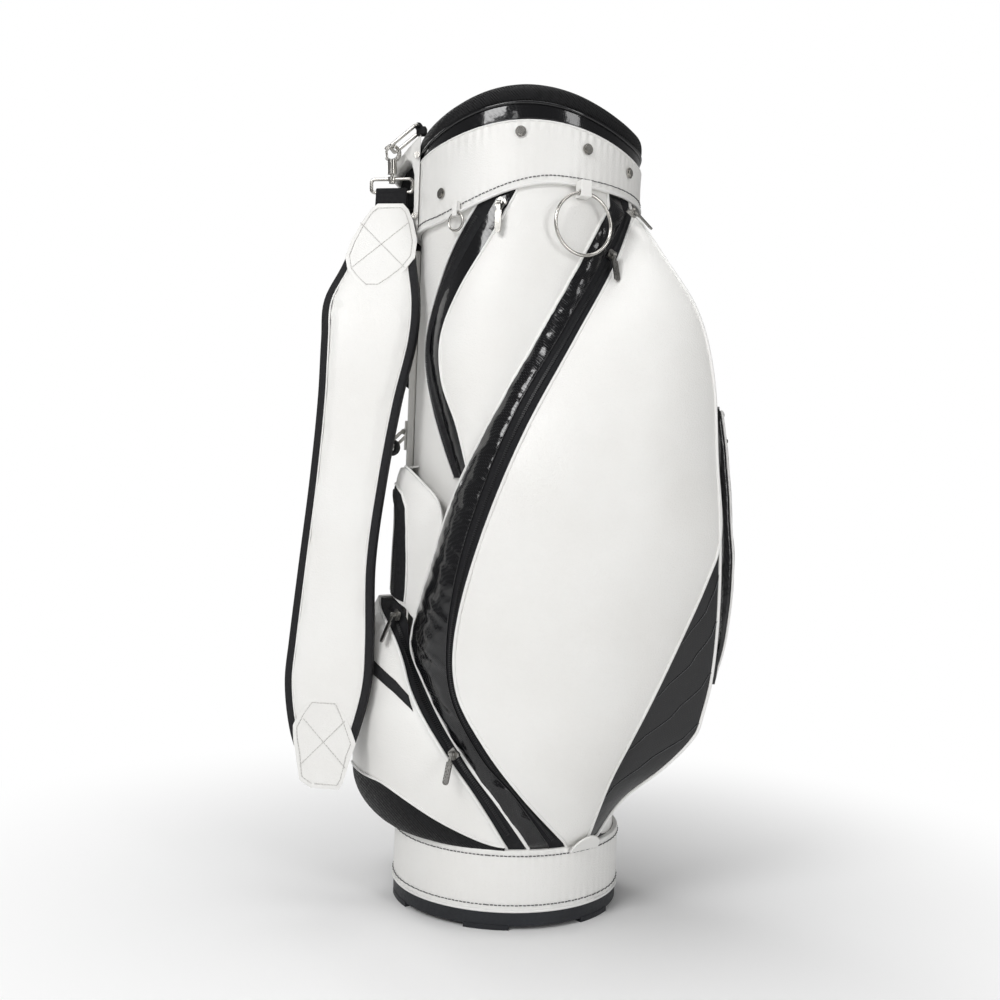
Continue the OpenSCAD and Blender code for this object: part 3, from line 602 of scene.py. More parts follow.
def band_wall(low, high, inner, outer, a, folds):
    """Section of a leather band: [radius, height] from its inner foot round its outer face."""
    z0, z1 = low(a), high(a)
    wall = []
    for z in np.linspace(z0 + 2.2, z1 - 2, 14):
        soft = 0.35 * noise.noise(Vector((a / 11, z / 26, 1.7)))
        wall.append([outer - 0.5 + soft + sum(pucker(a, z - (z0 if f == "low" else z1)) for f in folds), z])
    return ([[inner, z0 + 0.4], [outer - 1.6, z0]] + [[outer - 0.4, z0 + 0.7]] + wall
            + [[outer - 0.7, z1 - 0.6], [outer - 1.6, z1], [inner, z1]])


def cuff():
    sections = [[around(a, r, z) for r, z in
                 band_wall(cuff_low, cuff_top, SKIN_R + 0.8, CUFF_R, a, ["low", "high"])]
                for a in np.arange(0, 360, 1.0)]
    place(ring_surface("cuff_leather", sections, WHITE), "bag", "white_leather", "cuff_band")
    rope = [around(a, CUFF_R - 0.1, cuff_low(a) + 0.3) for a in ROUND]
    piping("cuff_piping", rope, 1.75, closed=True)
    edge = [around(a, CUFF_R - 0.7, cuff_top(a) - 0.2) for a in ROUND]
    piping("cuff_edge", edge, 1.0, closed=True)
    row = [around(a, CUFF_R + 0.05 + pucker(a, 7), cuff_low(a) + 7) for a in np.arange(0, 361, 0.5)]
    place(dashes("cuff_stitches", row, THREAD), "bag", "white_leather")


def base_band():
    low, high = lambda a: BASE_LOW + 0.6, lambda a: BASE_TOP
    sections = [[around(a, r, z) for r, z in
                 band_wall(low, high, SKIN_R + 0.8, BASE_R, a, ["low", "high"])]
                for a in np.arange(0, 360, 1.0)]
    place(ring_surface("base_leather", sections, WHITE), "bag", "white_leather", "base_band")
    foot = [around(a, BASE_R - 0.3, BASE_LOW + 1.2) for a in ROUND]
    piping("base_piping", foot, 1.5, closed=True)
    for tag, z in (("low", BASE_LOW + 7), ("high", BASE_TOP - 6)):
        row = [around(a, BASE_R + 0.05 + pucker(a, 6.5), z) for a in np.arange(0, 361, 0.5)]
        place(dashes("base_stitches_" + tag, row, THREAD), "bag", "white_leather")


def collar():
    """Smooth black band, glossy piping and the padded rim."""
    gap = 0.5
    sections = []
    for a in ROUND:
        z0, z1 = cuff_top(a) + gap, rim_z(a) - PAD_H - gap
        sections.append([around(a, r, z) for r, z in
                         [[TUBE_R + 0.6, z0], [119.2, z0], [119.6, (z0 + z1) / 2], [119.2, z1],
                          [TUBE_R + 0.6, z1]]])
    place(ring_surface("collar_leather", sections, GLOSS, 60), "bag", "black_fabric", "collar_band")
    profile = [[107, -19.4], [114, -19.9], [119, -19.6], [121, -16.5], [121.5, -12], [121.2, -7.5],
               [119.6, -3.4], [116.6, -0.9], [113.4, -0.2], [110, -1], [107, -4], [105.4, -8.5],
               [105.4, -14]]
    sections = [[around(a, r + 0.3 * noise.noise(Vector((a / 9, z / 9, 0))), rim_z(a) + z)
                 for r, z in profile] for a in ROUND]
    pad = ring_surface("collar_padding", sections, COLLAR, 80)
    finer = pad.modifiers.new("round", "SUBSURF")
    finer.levels = finer.render_levels = 1
    place(pad, "bag", "black_fabric", "collar_pad")
    line = [around(a, 120.0, rim_z(a) - PAD_H - 0.3) for a in ROUND]
    place(tube("collar_piping", line, 1.7, GLOSS, closed=True), "bag", "black_patent")
    line = [around(a, 119.6, cuff_top(a) + 1.6) for a in ROUND]
    place(tube("collar_foot_piping", line, 1.0, GLOSS, closed=True), "bag", "black_patent")


def trunk():
    """Leather skin of the trunk, with faint vertical draws."""
    grid = []
    for z in steps(BASE_TOP - 3, 748, 8):
        grid.append([around(a, SKIN_R - 0.1 + 0.35 * noise.noise(Vector((a / 7, z / 90, 0.3))), z)
                     for a in ROUND])
    place(slab("trunk_leather", grid, 1.4, WHITE, closed=True), "bag", "white_leather", "trunk_skin")


# ---------- Pockets ----------
PIPE_R = 1.7
PILLOW = 1.6      # how far a padded face stands above its piping


def face_grid(a_rows, b_rows, z_low, z_high, crown, count, chord, relief, pitch=6.0):
    """Grid between two seams; crown is a function of z, and relief adds small soft folds."""
    grid = []
    for z in steps(z_low, z_high, pitch):
        a, b = hermite(a_rows, z), hermite(b_rows, z)
        wide = np.linalg.norm(b - a)
        row = []
        for t in np.linspace(0, 1, count):
            p = (bowed if chord else between)(a, b, t, crown(z))
            near = min(t, 1 - t) * wide
            r = math.hypot(p[0], p[1])
            rise = PILLOW * (1 - math.exp(-near / 7)) * min(wide / 30, 1) + relief([p[0], p[1], z], near)
            row.append([*tucked(p * (1 + rise / r), z), z])
        grid.append(row)
    return np.array(grid)


def calm(p, near):
    """Faint unevenness of a padded white face, stronger beside its seams."""
    return 0.5 * wave_noise(p, 46, 2.0) + 0.55 * wave_noise(p, 13, 5.0) * math.exp(-near / 10)


def crinkled(p, near):
    """Folds of the patent band, which run across it."""
    along = p[2] * 0.8 + bearing_of(p) * 1.3
    ridge = 1 - abs(wave_noise([along * 2.2, p[2] * 0.6, 0], 30, 1.3)) * 2
    return 1.5 * ridge + 0.7 * wave_noise(p, 11, 4.0)


def still(p, near):
    return 0.0


def seam_line(rows, z_low, z_high, lift=0.5, pitch=5.0):
    line = []
    for z in steps(z_low, z_high, pitch):
        p = hermite(rows, z)
        r = math.hypot(*p)
        line.append([*tucked(p * (1 + lift / r), z), z])
    return np.array(line)


Z_LOW, Z_HIGH = 77, 747          # ends of the long covers, under the bands
BULGE_LOW, BULGE_H = 84, 642     # where the long pocket's bulge starts, and how tall it is


def side_pocket(side, s):
    """Long side pocket: face, crinkled patent band, zip tape and front gusset."""
    node = "side_pocket_" + side

    def crown(z):
        """Bulge of the face, none at its foot and head."""
        return 2 + 33 * math.sin(math.pi * min(max((z - BULGE_LOW) / BULGE_H, 0), 1)) - PILLOW

    face = face_grid(FACE_REAR, FACE_FRONT, Z_LOW, Z_HIGH, crown, 36, True, calm)
    place(slab(f"side_face_{side}", mirrored(face, s), 2.0, WHITE_PADDED), "bag", "white_pocket", node)
    band = face_grid(DIAGONAL, TAPE, Z_LOW, Z_HIGH, lambda z: 1.5, 18, False, crinkled, 2.5)
    patent_panel(f"side_band_{side}", mirrored(band, s), 1.6)
    tape = face_grid(TAPE, FACE_REAR, Z_LOW, Z_HIGH, lambda z: -1.2, 9, False, still)
    zip_tape(f"side_zip_tape_{side}", mirrored(tape, s), 1.4)
    coil(f"side_zip_teeth_{side}", mirrored(tape[2:-2], s), 4)
    gusset = face_grid(FACE_FRONT, FRONT_EDGE, Z_LOW, 400, lambda z: -0.5, 12, True, still)
    patent_panel(f"front_gusset_{side}", mirrored(gusset, s), 1.6)
    last = gusset.shape[1] - 1
    for number, start in enumerate(range(8, len(gusset) - 14, 9)):
        line = [gusset[start + int(round(14 * j / last)), j] * [1.004, 1.004, 1] for j in range(last + 1)]
        place(dashes(f"front_quilting_{number}_{side}", mirrored(line, s), THREAD, 3.4, 2.6, 0.35),
              "bag", "black_patent")
    for tag, rows, r in (("diagonal", DIAGONAL, 1.9), ("rear", FACE_REAR, PIPE_R),
                         ("front", FACE_FRONT, PIPE_R)):
        line = seam_line(rows, Z_LOW, Z_HIGH)
        piping(f"side_piping_{tag}_{side}", mirrored(line, s), r)
    crease = seam_line(TAPE, Z_LOW, Z_HIGH, 0.9)
    place(tube(f"side_tape_edge_{side}", mirrored(crease, s), 0.9, GLOSS), "bag", "black_patent")
    dots = seam_line(TAPE, 90, 720, 1.5)
    place(dashes(f"side_band_stitches_{side}", mirrored(dots, s), THREAD, 4.2, 2.4, 0.3),
          "bag", "black_patent")


def upper_pocket(side, s):
    node = "upper_pocket_" + side
    face = face_grid(UPPER_EDGE, DIAGONAL, 455, Z_HIGH, lambda z: 1.0, 30, False, calm)
    place(slab(f"upper_face_{side}", mirrored(face, s), 2.0, WHITE_PADDED), "bag", "white_pocket", node)
    gusset = face_grid(UPPER_FOOT, UPPER_EDGE, 448, Z_HIGH - 8, lambda z: 0, 12, False, still)
    zip_tape(f"upper_gusset_{side}", mirrored(gusset[:, :7], s), 1.4)
    place(slab(f"upper_sliver_{side}", mirrored(gusset[:, 6:], s), 1.4, GLOSS), "bag", "black_patent")
    coil(f"upper_zip_teeth_{side}", mirrored(gusset[2:-4], s), 3)
    for tag, rows, low, lift in (("foot", UPPER_FOOT, 448, 1.0), ("edge", UPPER_EDGE, 455, 0.5)):
        line = seam_line(rows, low, Z_HIGH - 6, lift)
        piping(f"upper_piping_{tag}_{side}", mirrored(line, s), 1.3)


# Zip arch on the arch pocket: rows [bearing, height] of its outer and inner edges
ARCH_OUTER = [[-72, 441], [-64, 441], [-57, 438], [-50, 430], [-46, 416], [-45, 395], [-45, 362],
              [-46, 331], [-47, 318]]
ARCH_INNER = [[-72, 428], [-67, 425], [-63, 417], [-60, 405], [-59.5, 392], [-61, 375],
              [-62, 360], [-62.5, 340], [-63, 328]]
DEGREE_MM = 2.3     # length of a degree round the pockets
# Binding across the lower pocket's face
BIND_HIGH = [[-74, 282], [-60, 268], [-48, 252], [-41, 241], [-35, 228]]
BIND_LOW = [[-74, 268], [-60, 254], [-48, 239], [-41, 229], [-32, 213]]


def surface_of(grid):
    """Tree of a grid of points, for laying things on it."""
    return BVHTree.FromPolygons([tuple(p) for p in grid.reshape(-1, 3)], quads(*grid.shape[:2]))


def laid(tree, bearing, z, lift, far=260):
    """Point at a bearing and height on a surface, lifted off it."""
    d = polar(bearing, 1.0)
    hit = tree.ray_cast(Vector((*(d * far), z)), Vector((-d[0], -d[1], 0)))
    r = math.hypot(hit[0].x, hit[0].y) if hit[0] else SKIN_R + 10
    return [*(d * (r + lift)), z]


def laid_band(tree, first, second, lift, count=70, across=9):
    """Grid on a surface between two lines of [bearing, height] rows, spaced evenly along them."""
    edges = []
    for rows in (first, second):
        path = resampled([[b * DEGREE_MM, z, 0] for b, z in rows], 1.0)
        at = np.linspace(0, len(path) - 1, count)
        edges.append(np.stack([np.interp(at, range(len(path)), path[:, k]) for k in (0, 1)], axis=1))
    grid = []
    for a, b in zip(*edges):
        row = []
        for t in np.linspace(0, 1, across):
            p = a + (b - a) * t
            row.append(laid(tree, p[0] / DEGREE_MM, p[1], lift + 1.2 * 4 * t * (1 - t)))
        grid.append(row)
    return np.array(grid)


def arch_pocket(side, s):
    rear = np.array([-124.0, 36.0])
    grid = []
    count = 30
    for u in np.linspace(0, 1, 40):
        row = []
        for t in np.linspace(0, 1, count):
            low = float(np.interp(t, [0, 0.52, 0.82, 1], [322, 322, 313, 301]))
            z = low + (458 - low) * u
            cap = math.sqrt(max(1 - (max(z - 420, 0) / 41) ** 2, 0))
            front = hermite(ARCH_FRONT, z)
            wide = np.linalg.norm(front - rear)
            q = bowed(front, rear, 1 - t, 0.22 * wide * cap)
            near = min(t, 1 - t) * wide
            q = q * (1 + calm([q[0], q[1], z], near) / math.hypot(*q))
            row.append([*q, z])
        wall = rear * (TUCK_R / math.hypot(*rear))
        grid.append([[*wall, row[0][2]]] + row)
    top = [[*(np.array(q[:2]) * (TUCK_R / math.hypot(q[0], q[1]))), 460.5] for q in grid[-1]]
    grid = np.array(grid + [top])
    place(slab(f"arch_face_{side}", mirrored(grid, s), 1.8, WHITE_PADDED), "bag", "white_pocket",
          "arch_pocket_" + side)
    line = seam_line(ARCH_FRONT, 302, 459, 0.8, 3)
    piping(f"arch_piping_{side}", mirrored(line, s), 1.5)
    band = laid_band(surface_of(grid), ARCH_OUTER, ARCH_INNER, 0.5)
    zip_tape(f"arch_zip_tape_{side}", mirrored(band, s), 1.4)
    coil(f"arch_zip_teeth_{side}", mirrored(band[1:-1], s), 4)
    for tag, column in (("outer", 0), ("inner", -1)):
        line = band[:, column]
        piping(f"arch_band_piping_{tag}_{side}", mirrored(line, s), 1.2)


def lower_pocket(side, s):
    grid, under = [], []
    count = 34

    def point(t, z):
        rear, edge = hermite(LOWER_REAR, z), hermite(LOWER_EDGE, z)
        wide = np.linalg.norm(edge - rear)
        p = bowed(edge, rear, 1 - t, 0.18 * wide)
        return p * (1 + calm([p[0], p[1], z], min(t, 1 - t) * wide) / math.hypot(*p))

    def foot(t):
        """Height of the face's lower edge: level at the spine, falling to the base band."""
        return 84 + 53 * smooth((1 - t) * 1.7)

    for u in np.linspace(0, 1, 44):
        row = []
        for t in np.linspace(0, 1, count):
            z = foot(t) + (320 - foot(t)) * u
            p = point(t, z)
            row.append([*p, z])
        wall = np.array(row[0][:2]) * (TUCK_R / math.hypot(*row[0][:2]))
        grid.append([[*wall, row[0][2]]] + row)
    grid = np.array(grid)
    top = grid[-1] * [1, 1, 1]
    top[:, :2] *= (TUCK_R / np.hypot(top[:, 0], top[:, 1]))[:, None]
    top[:, 2] += 1.5
    grid = np.concatenate([grid, top[None]])
    place(slab(f"lower_face_{side}", mirrored(grid, s), 2.0, WHITE_PADDED), "bag", "white_pocket",
          "lower_pocket_" + side)
    for u in np.linspace(0, 1, 14):
        row = []
        for p in grid[0]:
            r = math.hypot(p[0], p[1])
            goal = TUCK_R + 1.5
            z = p[2] + (BASE_TOP - 2 - p[2]) * u
            drop = goal + (r - goal) * max(1 - u**2.2, 0) ** 0.6
            row.append([p[0] * drop / r, p[1] * drop / r, z])
        under.append(row)
    place(slab(f"lower_underside_{side}", mirrored(under, s), 1.6, COLLAR), "bag", "black_patent")
    rim = grid[0][1:] * [1.004, 1.004, 1]
    piping(f"lower_rim_piping_{side}", mirrored(rim, s), 1.5)
    gusset = face_grid(LOWER_EDGE, LOWER_FOOT, Z_LOW, 319, lambda z: 0, 10, False, still)
    zip_tape(f"lower_gusset_{side}", mirrored(gusset, s), 1.4)
    coil(f"lower_zip_teeth_{side}", mirrored(gusset[3:-1], s), 5)
    line = seam_line(LOWER_EDGE, Z_LOW, 320, 0.8, 3)
    piping(f"lower_piping_{side}", mirrored(line, s), PIPE_R)
    band = laid_band(surface_of(grid), BIND_HIGH, BIND_LOW, 0.4, 40, 7)
    place(slab(f"lower_binding_{side}", mirrored(band, s), 1.2, BINDING), "bag", "black_fabric")


def front_panel():
    """Patent front panel between the two side pockets, and its piping; the ball pocket on it is made by
    ball_pocket.
    """
    grid = []
    for z in steps(Z_LOW, Z_HIGH, 5):
        f = hermite(FRONT_EDGE, z)
        row = []
        for t in np.linspace(0, 1, 25):
            p = bowed(np.array([f[0], f[1]]), np.array([f[0], -f[1]]), t, FRONT_CROWN)
            rise = 0.9 * wave_noise([p[0], p[1], z], 30, 3.0) * min(t, 1 - t) * 4
            row.append([*tucked(p + [rise, 0], z), z])
        grid.append(row)
    place(slab("front_leather", grid, 2.0, PATENT), "bag", "black_pocket", "front_pocket")
    for side, s in SIDES.items():
        line = seam_line(FRONT_EDGE, Z_LOW, Z_HIGH)
        piping("front_piping_" + side, mirrored(line, s), PIPE_R)


def ball_pocket():
    """Box pocket with rounded edges, puffed front and piping round its front face."""
    sections = []
    for z in steps(BALL_LOW, BALL_TOP, 5):
        end = min(z - BALL_LOW, BALL_TOP - z)
        shrink = 6 * (1 - math.sqrt(max(1 - (1 - min(end / 6, 1)) ** 2, 0)))
        x, back = hermite(BALL_EDGE, z)[0], hermite(FRONT_EDGE, z)[0] + FRONT_CROWN + 1.2
        h, r = BALL_HALF - 0.6, BALL_EDGE_R
        front = x + 1.5 * wave_noise([x, 0, z], 40, 2) - shrink
        outline = [[back, -h + shrink / 2]]
        for a in np.linspace(-90, 0, 6):
            c, d = math.cos(math.radians(a)), math.sin(math.radians(a))
            outline.append([front - r + r * c, -h + r + r * d])
        for t in np.linspace(0.04, 0.96, 15):
            y = -h + r + (2 * h - 2 * r) * t
            outline.append([front + 16 * t * (1 - t) * 0.9 + 0.6 * wave_noise([x, y, z], 20, 7), y])
        for a in np.linspace(0, 90, 6):
            c, d = math.cos(math.radians(a)), math.sin(math.radians(a))
            outline.append([front - r + r * c, h - r + r * d])
        outline.append([back, h - shrink / 2])
        sections.append([[px, py, z] for px, py in outline])
    place(loft("ball_leather", sections, PATENT, 70), "bag", "black_pocket", "ball_pocket")
    ring = []
    sections = np.array(sections)
    j0, j1 = 5, sections.shape[1] - 6
    ring += list(sections[2:-2, j0])
    ring += [sections[-2, j] for j in range(j0, j1 + 1)]
    ring += list(sections[2:-2, j1][::-1])
    ring += [sections[1, j] for j in range(j1, j0 - 1, -1)]
    piping("ball_piping", ring, 1.5, closed=True)


# ---------- Softened CAD pieces ----------
def softened(node, name, material, body, slot_name, voxel=1.4, passes=8):
    """Leather copy of a CAD solid with its edges rounded off."""
    source = frame["nodes"][node]
    mesh = source.data.copy()
    obj = bpy.data.objects.new(name, mesh)
    bpy.context.scene.collection.objects.link(obj)
    remesh = obj.modifiers.new("remesh", "REMESH")
    remesh.mode = "VOXEL"
    remesh.voxel_size = voxel * MM
    relax = obj.modifiers.new("relax", "SMOOTH")
    relax.factor = 0.5
    relax.iterations = passes
    bpy.context.view_layer.update()
    final = evaluated(obj)
    final.materials.clear()
    final.materials.append(material)
    shade_smooth(final)
    return place(obj, body, slot_name, node)


def body_of(node):
    return frame["nodes"][node]["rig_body"]


dress_cad()
trunk()
cuff()
base_band()
collar()
for side, s in SIDES.items():
    side_pocket(side, s)
    upper_pocket(side, s)
    arch_pocket(side, s)
    lower_pocket(side, s)
front_panel()
ball_pocket()
for node, name, material, slot_name, voxel in (
        ("spine_bracket", "bracket_leather", WHITE, "white_leather", 1.4),
        ("spine_panel", "spine_leather", WHITE, "white_leather", 1.8),
        ("carry_handle", "handle_webbing", WEBBING_CLOTH, "black_webbing", 1.6),
        ("ring_tabs", "ring_sleeves", WHITE, "white_leather", 0.6),
        ("base_tab", "half_moon_tab", WHITE, "white_leather", 0.5),
        ("d_ring_tab", "d_ring_sleeve", WHITE, "white_leather", 0.6),
        ("link_anchor", "link_sleeve", BINDING, "black_fabric", 0.6),
        ("webbing_top", "upper_webbing", WEBBING_CLOTH, "black_webbing", 0.7)):
    softened(node, name, material, body_of(node), slot_name, voxel, 3)


# ---------- Strap ----------
# Shoulder pad: rows [z, left x, right x, y]
PAD = [[150, -198, -152, -112], [185, -211, -140, -112], [232, -218, -129, -112],
       [274, -216, -128, -110], [357, -210, -131, -105], [441, -204, -124, -99],
       [525, -201, -113, -91], [590, -202, -101, -84], [630, -203, -101, -76],
       [668, -189, -109, -64], [705, -178, -118, -51], [735.6, -164, -128, -40]]
PATCHES = {
    "upper": [[644, -160, -146], [652, -170, -134], [664, -181, -120], [680, -186, -110],
              [700, -182, -110], [722, -173, -117], [736, -165, -124], [742, -158, -130]],
    "lower": [[127, -186, -156], [134, -198, -152], [160, -203, -145], [175, -206, -140],
              [190, -207, -146], [205, -199, -153], [219, -189, -161]],
}
PATCH_T = 2
BIND_W = 8.5      # width of the black binding on the pad's edges
# Lower webbing: rows [row number, x, y, z, width, turn of its width from X towards Y]
WEBBING = [[0, -176, -112, 156, 35, 0], [1, -176, -111, 138, 35, 0], [2, -176, -106, 132, 35, 0],
           [3, -176, -101, 138, 35, 0], [4, -174, -99, 160, 36, 0], [5, -171, -95, 220, 36, 5],
           [6, -166, -87, 290, 34, 20], [7, -159, -70, 350, 32, 40], [8, -153, -47, 410, 28, 65],
           [9, -150, -26, 455, 22, 85], [10, -149.4, -18.5, 476, 20, 90]]
WEB_T = 2.4
D_RING_BAR = (-141.97, -18, 481.03)
STRAP_LOOP_R = 7


def pad_row(z):
    """Left edge, right edge and depth of the pad at height z."""
    return hermite(PAD, z)


def pad_shell():
    """Closed padded form inside the pad's outline, thin at its edges."""
    sections = []
    for z in steps(PAD[0][0] + 1, PAD[-1][0] - 1, 6):
        left, right, y = pad_row(z)
        end = min(z - PAD[0][0], PAD[-1][0] - z)
        half = 3.4 + 1.2 * min(end / 30, 1)
        front, back = [], []
        for t in np.linspace(0, 1, 15):
            x = left + 1.2 + (right - left - 2.4) * t
            swell = half * (0.72 + 0.28 * (4 * t * (1 - t)) ** 0.4)
            front.append([x, y - swell, z])
            back.append([x, y + swell, z])
        sections.append(front + back[::-1])
    return loft("pad_leather", sections, WHITE_PADDED, 80)


def inflated(obj, pressure, cap):
    """Swells a closed form with the cloth solver, moving no point further than cap."""
    remesh = obj.modifiers.new("remesh", "REMESH")
    remesh.mode = "VOXEL"
    remesh.voxel_size = 4.5 * MM
    start = np.array([v.co for v in evaluated(obj).vertices])
    cloth = obj.modifiers.new("cloth", "CLOTH")
    cloth.settings.use_pressure = True
    cloth.settings.uniform_pressure_force = pressure
    cloth.settings.effector_weights.gravity = 0
    cloth.settings.quality = 5
    for number in range(1, 21):
        bpy.context.scene.frame_set(number)
    swollen = evaluated(obj)
    move = np.array([v.co for v in swollen.vertices]) - start
    far = np.linalg.norm(move, axis=1, keepdims=True)
    move *= np.minimum(1, cap * MM / np.maximum(far, 1e-9))
    for vertex, place_at in zip(swollen.vertices, start + move):
        vertex.co = place_at
    bpy.context.scene.frame_set(1)
    shade_smooth(obj.data)
    finer = obj.modifiers.new("finer", "SUBSURF")
    finer.levels = finer.render_levels = 1


def patch_depth(z):
    """y of a patch's outer face."""
    return pad_row(z)[2] - PAD_T / 2 - PATCH_T - 0.3


def patch_outline(rows, inset=0.0):
    """Corner points of a patch from above, pulled in by an inset."""
    outline = [[x1, z] for z, x1, x2 in rows] + [[x2, z] for z, x1, x2 in rows[::-1]]
    outline = np.array(outline, float)
    middle = outline.mean(axis=0)
    for i, p in enumerate(outline):
        d = middle - p
        outline[i] = p + d / np.linalg.norm(d) * inset
    return outline


def strap_patches():
    """Leather patches over the pad's ends, with a stitched border and a stitched cross."""
    stands_for = ["strap_patches"]
    for tag, rows in PATCHES.items():
        table = np.array(rows, float)
        grid = []
        for z in steps(table[0, 0], table[-1, 0], 2):
            x1, x2 = np.interp(z, table[:, 0], table[:, 1]), np.interp(z, table[:, 0], table[:, 2])
            row = []
            for t in np.linspace(0, 1, 17):
                edge = min(t * (x2 - x1), (1 - t) * (x2 - x1), z - table[0, 0], table[-1, 0] - z)
                x = x1 + (x2 - x1) * t
                sink = 0.9 * math.exp(-edge / 1.5) - 0.35 * wave_noise([x, 0, z], 17, 3)
                row.append([x, patch_depth(z) + sink, z])
            grid.append(row)
        patch = slab("patch_leather_" + tag, grid, PATCH_T, WHITE)
        place(patch, "strap", "white_leather", *stands_for)
        stands_for = []
        border = patch_outline(rows, 5.0)
        line = [[x, patch_depth(z) - 0.1, z] for x, z in np.concatenate([border, border[:1]])]
        place(dashes("patch_border_" + tag, line, WHITE_THREAD, 3.6, 2.6, 0.5), "strap", "white_leather")
        low, high = border[:, 1].min(), border[:, 1].max()
        left, right = border[:, 0].min() + 5, border[:, 0].max() - 5
        for way, (x1, x2) in (("rise", (left, right)), ("fall", (right, left))):
            z1, z2 = low + (high - low) * 0.22, low + (high - low) * 0.82
            line = [[x1 + (x2 - x1) * t, patch_depth(z1 + (z2 - z1) * t) - 0.1, z1 + (z2 - z1) * t]
                    for t in np.linspace(0, 1, 12)]
            place(dashes(f"patch_cross_{way}_{tag}", line, WHITE_THREAD, 3.6, 2.6, 0.5), "strap",
                  "white_leather")


def squared(v):
    """Rounds a circle's coordinate towards a square's."""
    return math.copysign(abs(v) ** 0.45, v)


def strap_pad():
    pad = pad_shell()
    inflated(pad, 4.0, 3.0)
    place(pad, "strap", "pad_leather", "strap_pad")
    for tag, column, way in (("left", 0, 1), ("right", 1, -1)):
        path = []
        for z in steps(PAD[0][0] + 2, PAD[-1][0] - 4, 6):
            row = pad_row(z)
            path.append([row[column] + way * (BIND_W / 2 - 0.6), row[2], z])
        path = np.array(path)
        sections = []
        for p, q in zip(path, np.gradient(path, axis=0)):
            q = q / np.linalg.norm(q)
            wide = np.cross(q, [0, 1, 0])
            wide /= np.linalg.norm(wide)
            deep = np.cross(wide, q)
            sections.append([p + wide * BIND_W / 2 * squared(math.cos(a))
                             + deep * (PAD_T / 2 - 0.1) * squared(math.sin(a))
                             for a in np.arange(20) * math.pi / 10])
        binding = loft("pad_binding_" + tag, sections, BINDING, 80)
        place(binding, "strap", "black_webbing")
        line = path + [way * (BIND_W / 2 + 0.3), -PAD_T / 2 + 0.9, 0]
        place(tube("pad_piping_" + tag, line, 0.8, PIPING, up=(0, 1, 0)), "strap", "white_leather")


def webbing_row(t):
    """Centre and half width vector of the lower webbing at row number t."""
    row = hermite(WEBBING, t)
    turn = math.radians(row[4])
    return row[:3], np.array([math.cos(turn), math.sin(turn), 0]) * row[3] / 2


def lower_webbing():
    """Flat strap from the pad's foot, up behind it, to a sewn loop round the D-ring."""
    rows = np.linspace(0, 10, 120)
    grid = []
    for t in rows:
        centre, half = webbing_row(t)
        grid.append([centre + half * u for u in np.linspace(-1, 1, 9)])
    grid = np.array(grid)
    normals = grid_normals(grid, False)
    grid = grid + normals * WEB_T / 2
    strap = slab("lower_webbing", grid, WEB_T, WEBBING_CLOTH)
    place(strap, "strap", "black_webbing", "webbing_bottom")
    x, y, z = D_RING_BAR
    sections = []
    for a in np.arange(0, 360, 12):
        c, d = math.cos(math.radians(a)), math.sin(math.radians(a))
        near, far = STRAP_LOOP_R + 0.1, STRAP_LOOP_R + WEB_T
        sections.append([[x + r * c, y + w, z + r * d]
                         for r, w in ((near, -9.6), (far - 0.5, -10), (far, -9), (far, 9),
                                      (far - 0.5, 10), (near, 9.6))])
    place(ring_surface("strap_loop", sections, WEBBING_CLOTH), "strap", "black_webbing")


strap_pad()
strap_patches()
lower_webbing()


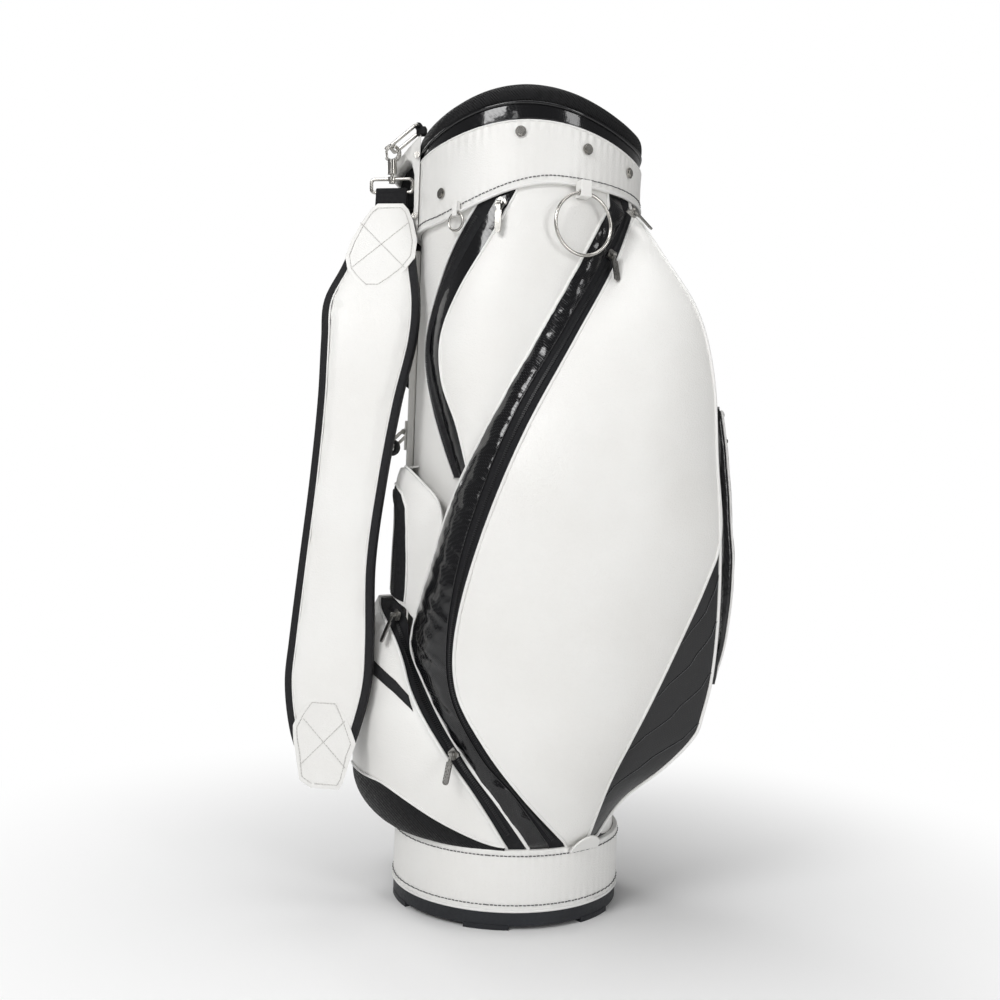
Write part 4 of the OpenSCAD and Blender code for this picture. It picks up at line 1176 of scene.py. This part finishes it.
# ---------- Stage ----------
def stage():
    """White floor that fades to pure white round the bag, a white backdrop and soft lights."""
    mat, nodes, links, bsdf = shader("floor", (0.93, 0.93, 0.93), 0.7)
    ends = nodes["Material Output"]
    pale = nodes.new("ShaderNodeEmission")
    length = nodes.new("ShaderNodeVectorMath")
    length.operation = "LENGTH"
    links.new(object_coords(nodes, links), length.inputs[0])
    fade = node_with(nodes, "ShaderNodeMapRange", From_Min=0.2, From_Max=0.8)
    fade.interpolation_type = "SMOOTHSTEP"
    links.new(length.outputs["Value"], fade.inputs["Value"])
    seen = nodes.new("ShaderNodeLightPath")
    mix = nodes.new("ShaderNodeMixShader")
    links.new(maths(nodes, links, "MULTIPLY", fade.outputs["Result"], seen.outputs["Is Camera Ray"]),
              mix.inputs["Fac"])
    links.new(bsdf.outputs["BSDF"], mix.inputs[1])
    links.new(pale.outputs["Emission"], mix.inputs[2])
    links.new(mix.outputs["Shader"], ends.inputs["Surface"])
    grid = [[[x, y, 0] for x in np.linspace(-6000, 6000, 9)] for y in np.linspace(-6000, 9000, 9)]
    points = np.array(grid, float).reshape(-1, 3)
    floor = mesh_object("floor", points, quads(9, 9), mat)
    world = bpy.data.worlds.new("studio")
    bpy.context.scene.world = world
    world.use_nodes = True
    tree = world.node_tree
    surround = tree.nodes["Background"]
    surround.inputs["Color"].default_value = (1, 1, 1, 1)
    surround.inputs["Strength"].default_value = 0.2
    backdrop = node_with(tree.nodes, "ShaderNodeBackground", Color=(1, 1, 1, 1), Strength=1.0)
    path = tree.nodes.new("ShaderNodeLightPath")
    mix = tree.nodes.new("ShaderNodeMixShader")
    tree.links.new(path.outputs["Is Camera Ray"], mix.inputs["Fac"])
    tree.links.new(surround.outputs["Background"], mix.inputs[1])
    tree.links.new(backdrop.outputs["Background"], mix.inputs[2])
    tree.links.new(mix.outputs["Shader"], tree.nodes["World Output"].inputs["Surface"])
    for name, place_at, size, power in (
            ("key", (-1.5, -2.7, 2.3), (1.3, 1.3), 56),
            ("fill", (2.3, -2.0, 1.2), (0.6, 2.0), 24),
            ("strip", (-0.5, -3.0, 0.7), (0.22, 2.2), 6),
            ("back", (-1.8, 1.8, 1.8), (0.8, 1.4), 14),
            ("top", (0, 0, 3.6), (2.4, 2.4), 46)):
        light = bpy.data.lights.new(name, "AREA")
        light.shape = "RECTANGLE"
        light.size, light.size_y = size
        light.energy = power
        lamp = bpy.data.objects.new(name, light)
        lamp.location = place_at
        way = Vector((0, 0, 0.45)) - lamp.location
        lamp.rotation_mode = "QUATERNION"
        lamp.rotation_quaternion = way.to_track_quat("-Z", "Y")
        bpy.context.scene.collection.objects.link(lamp)


def camera():
    azimuth, distance, height, roll = math.radians(8), 1.250, 0.428, math.radians(2.12)
    data = bpy.data.cameras.new("camera")
    data.lens, data.sensor_width = 40.9, 36
    data.shift_x = -0.018
    cam = bpy.data.objects.new("camera", data)
    cam.location = (distance * math.sin(azimuth), -distance * math.cos(azimuth), height)
    look = Vector((-math.sin(azimuth), math.cos(azimuth), 0)).to_track_quat("-Z", "Y")
    cam.rotation_mode = "QUATERNION"
    cam.rotation_quaternion = look @ Quaternion((0, 0, 1), roll)
    bpy.context.scene.collection.objects.link(cam)
    bpy.context.scene.camera = cam


stage()
camera()
bpy.context.scene.view_settings.view_transform = "Standard"
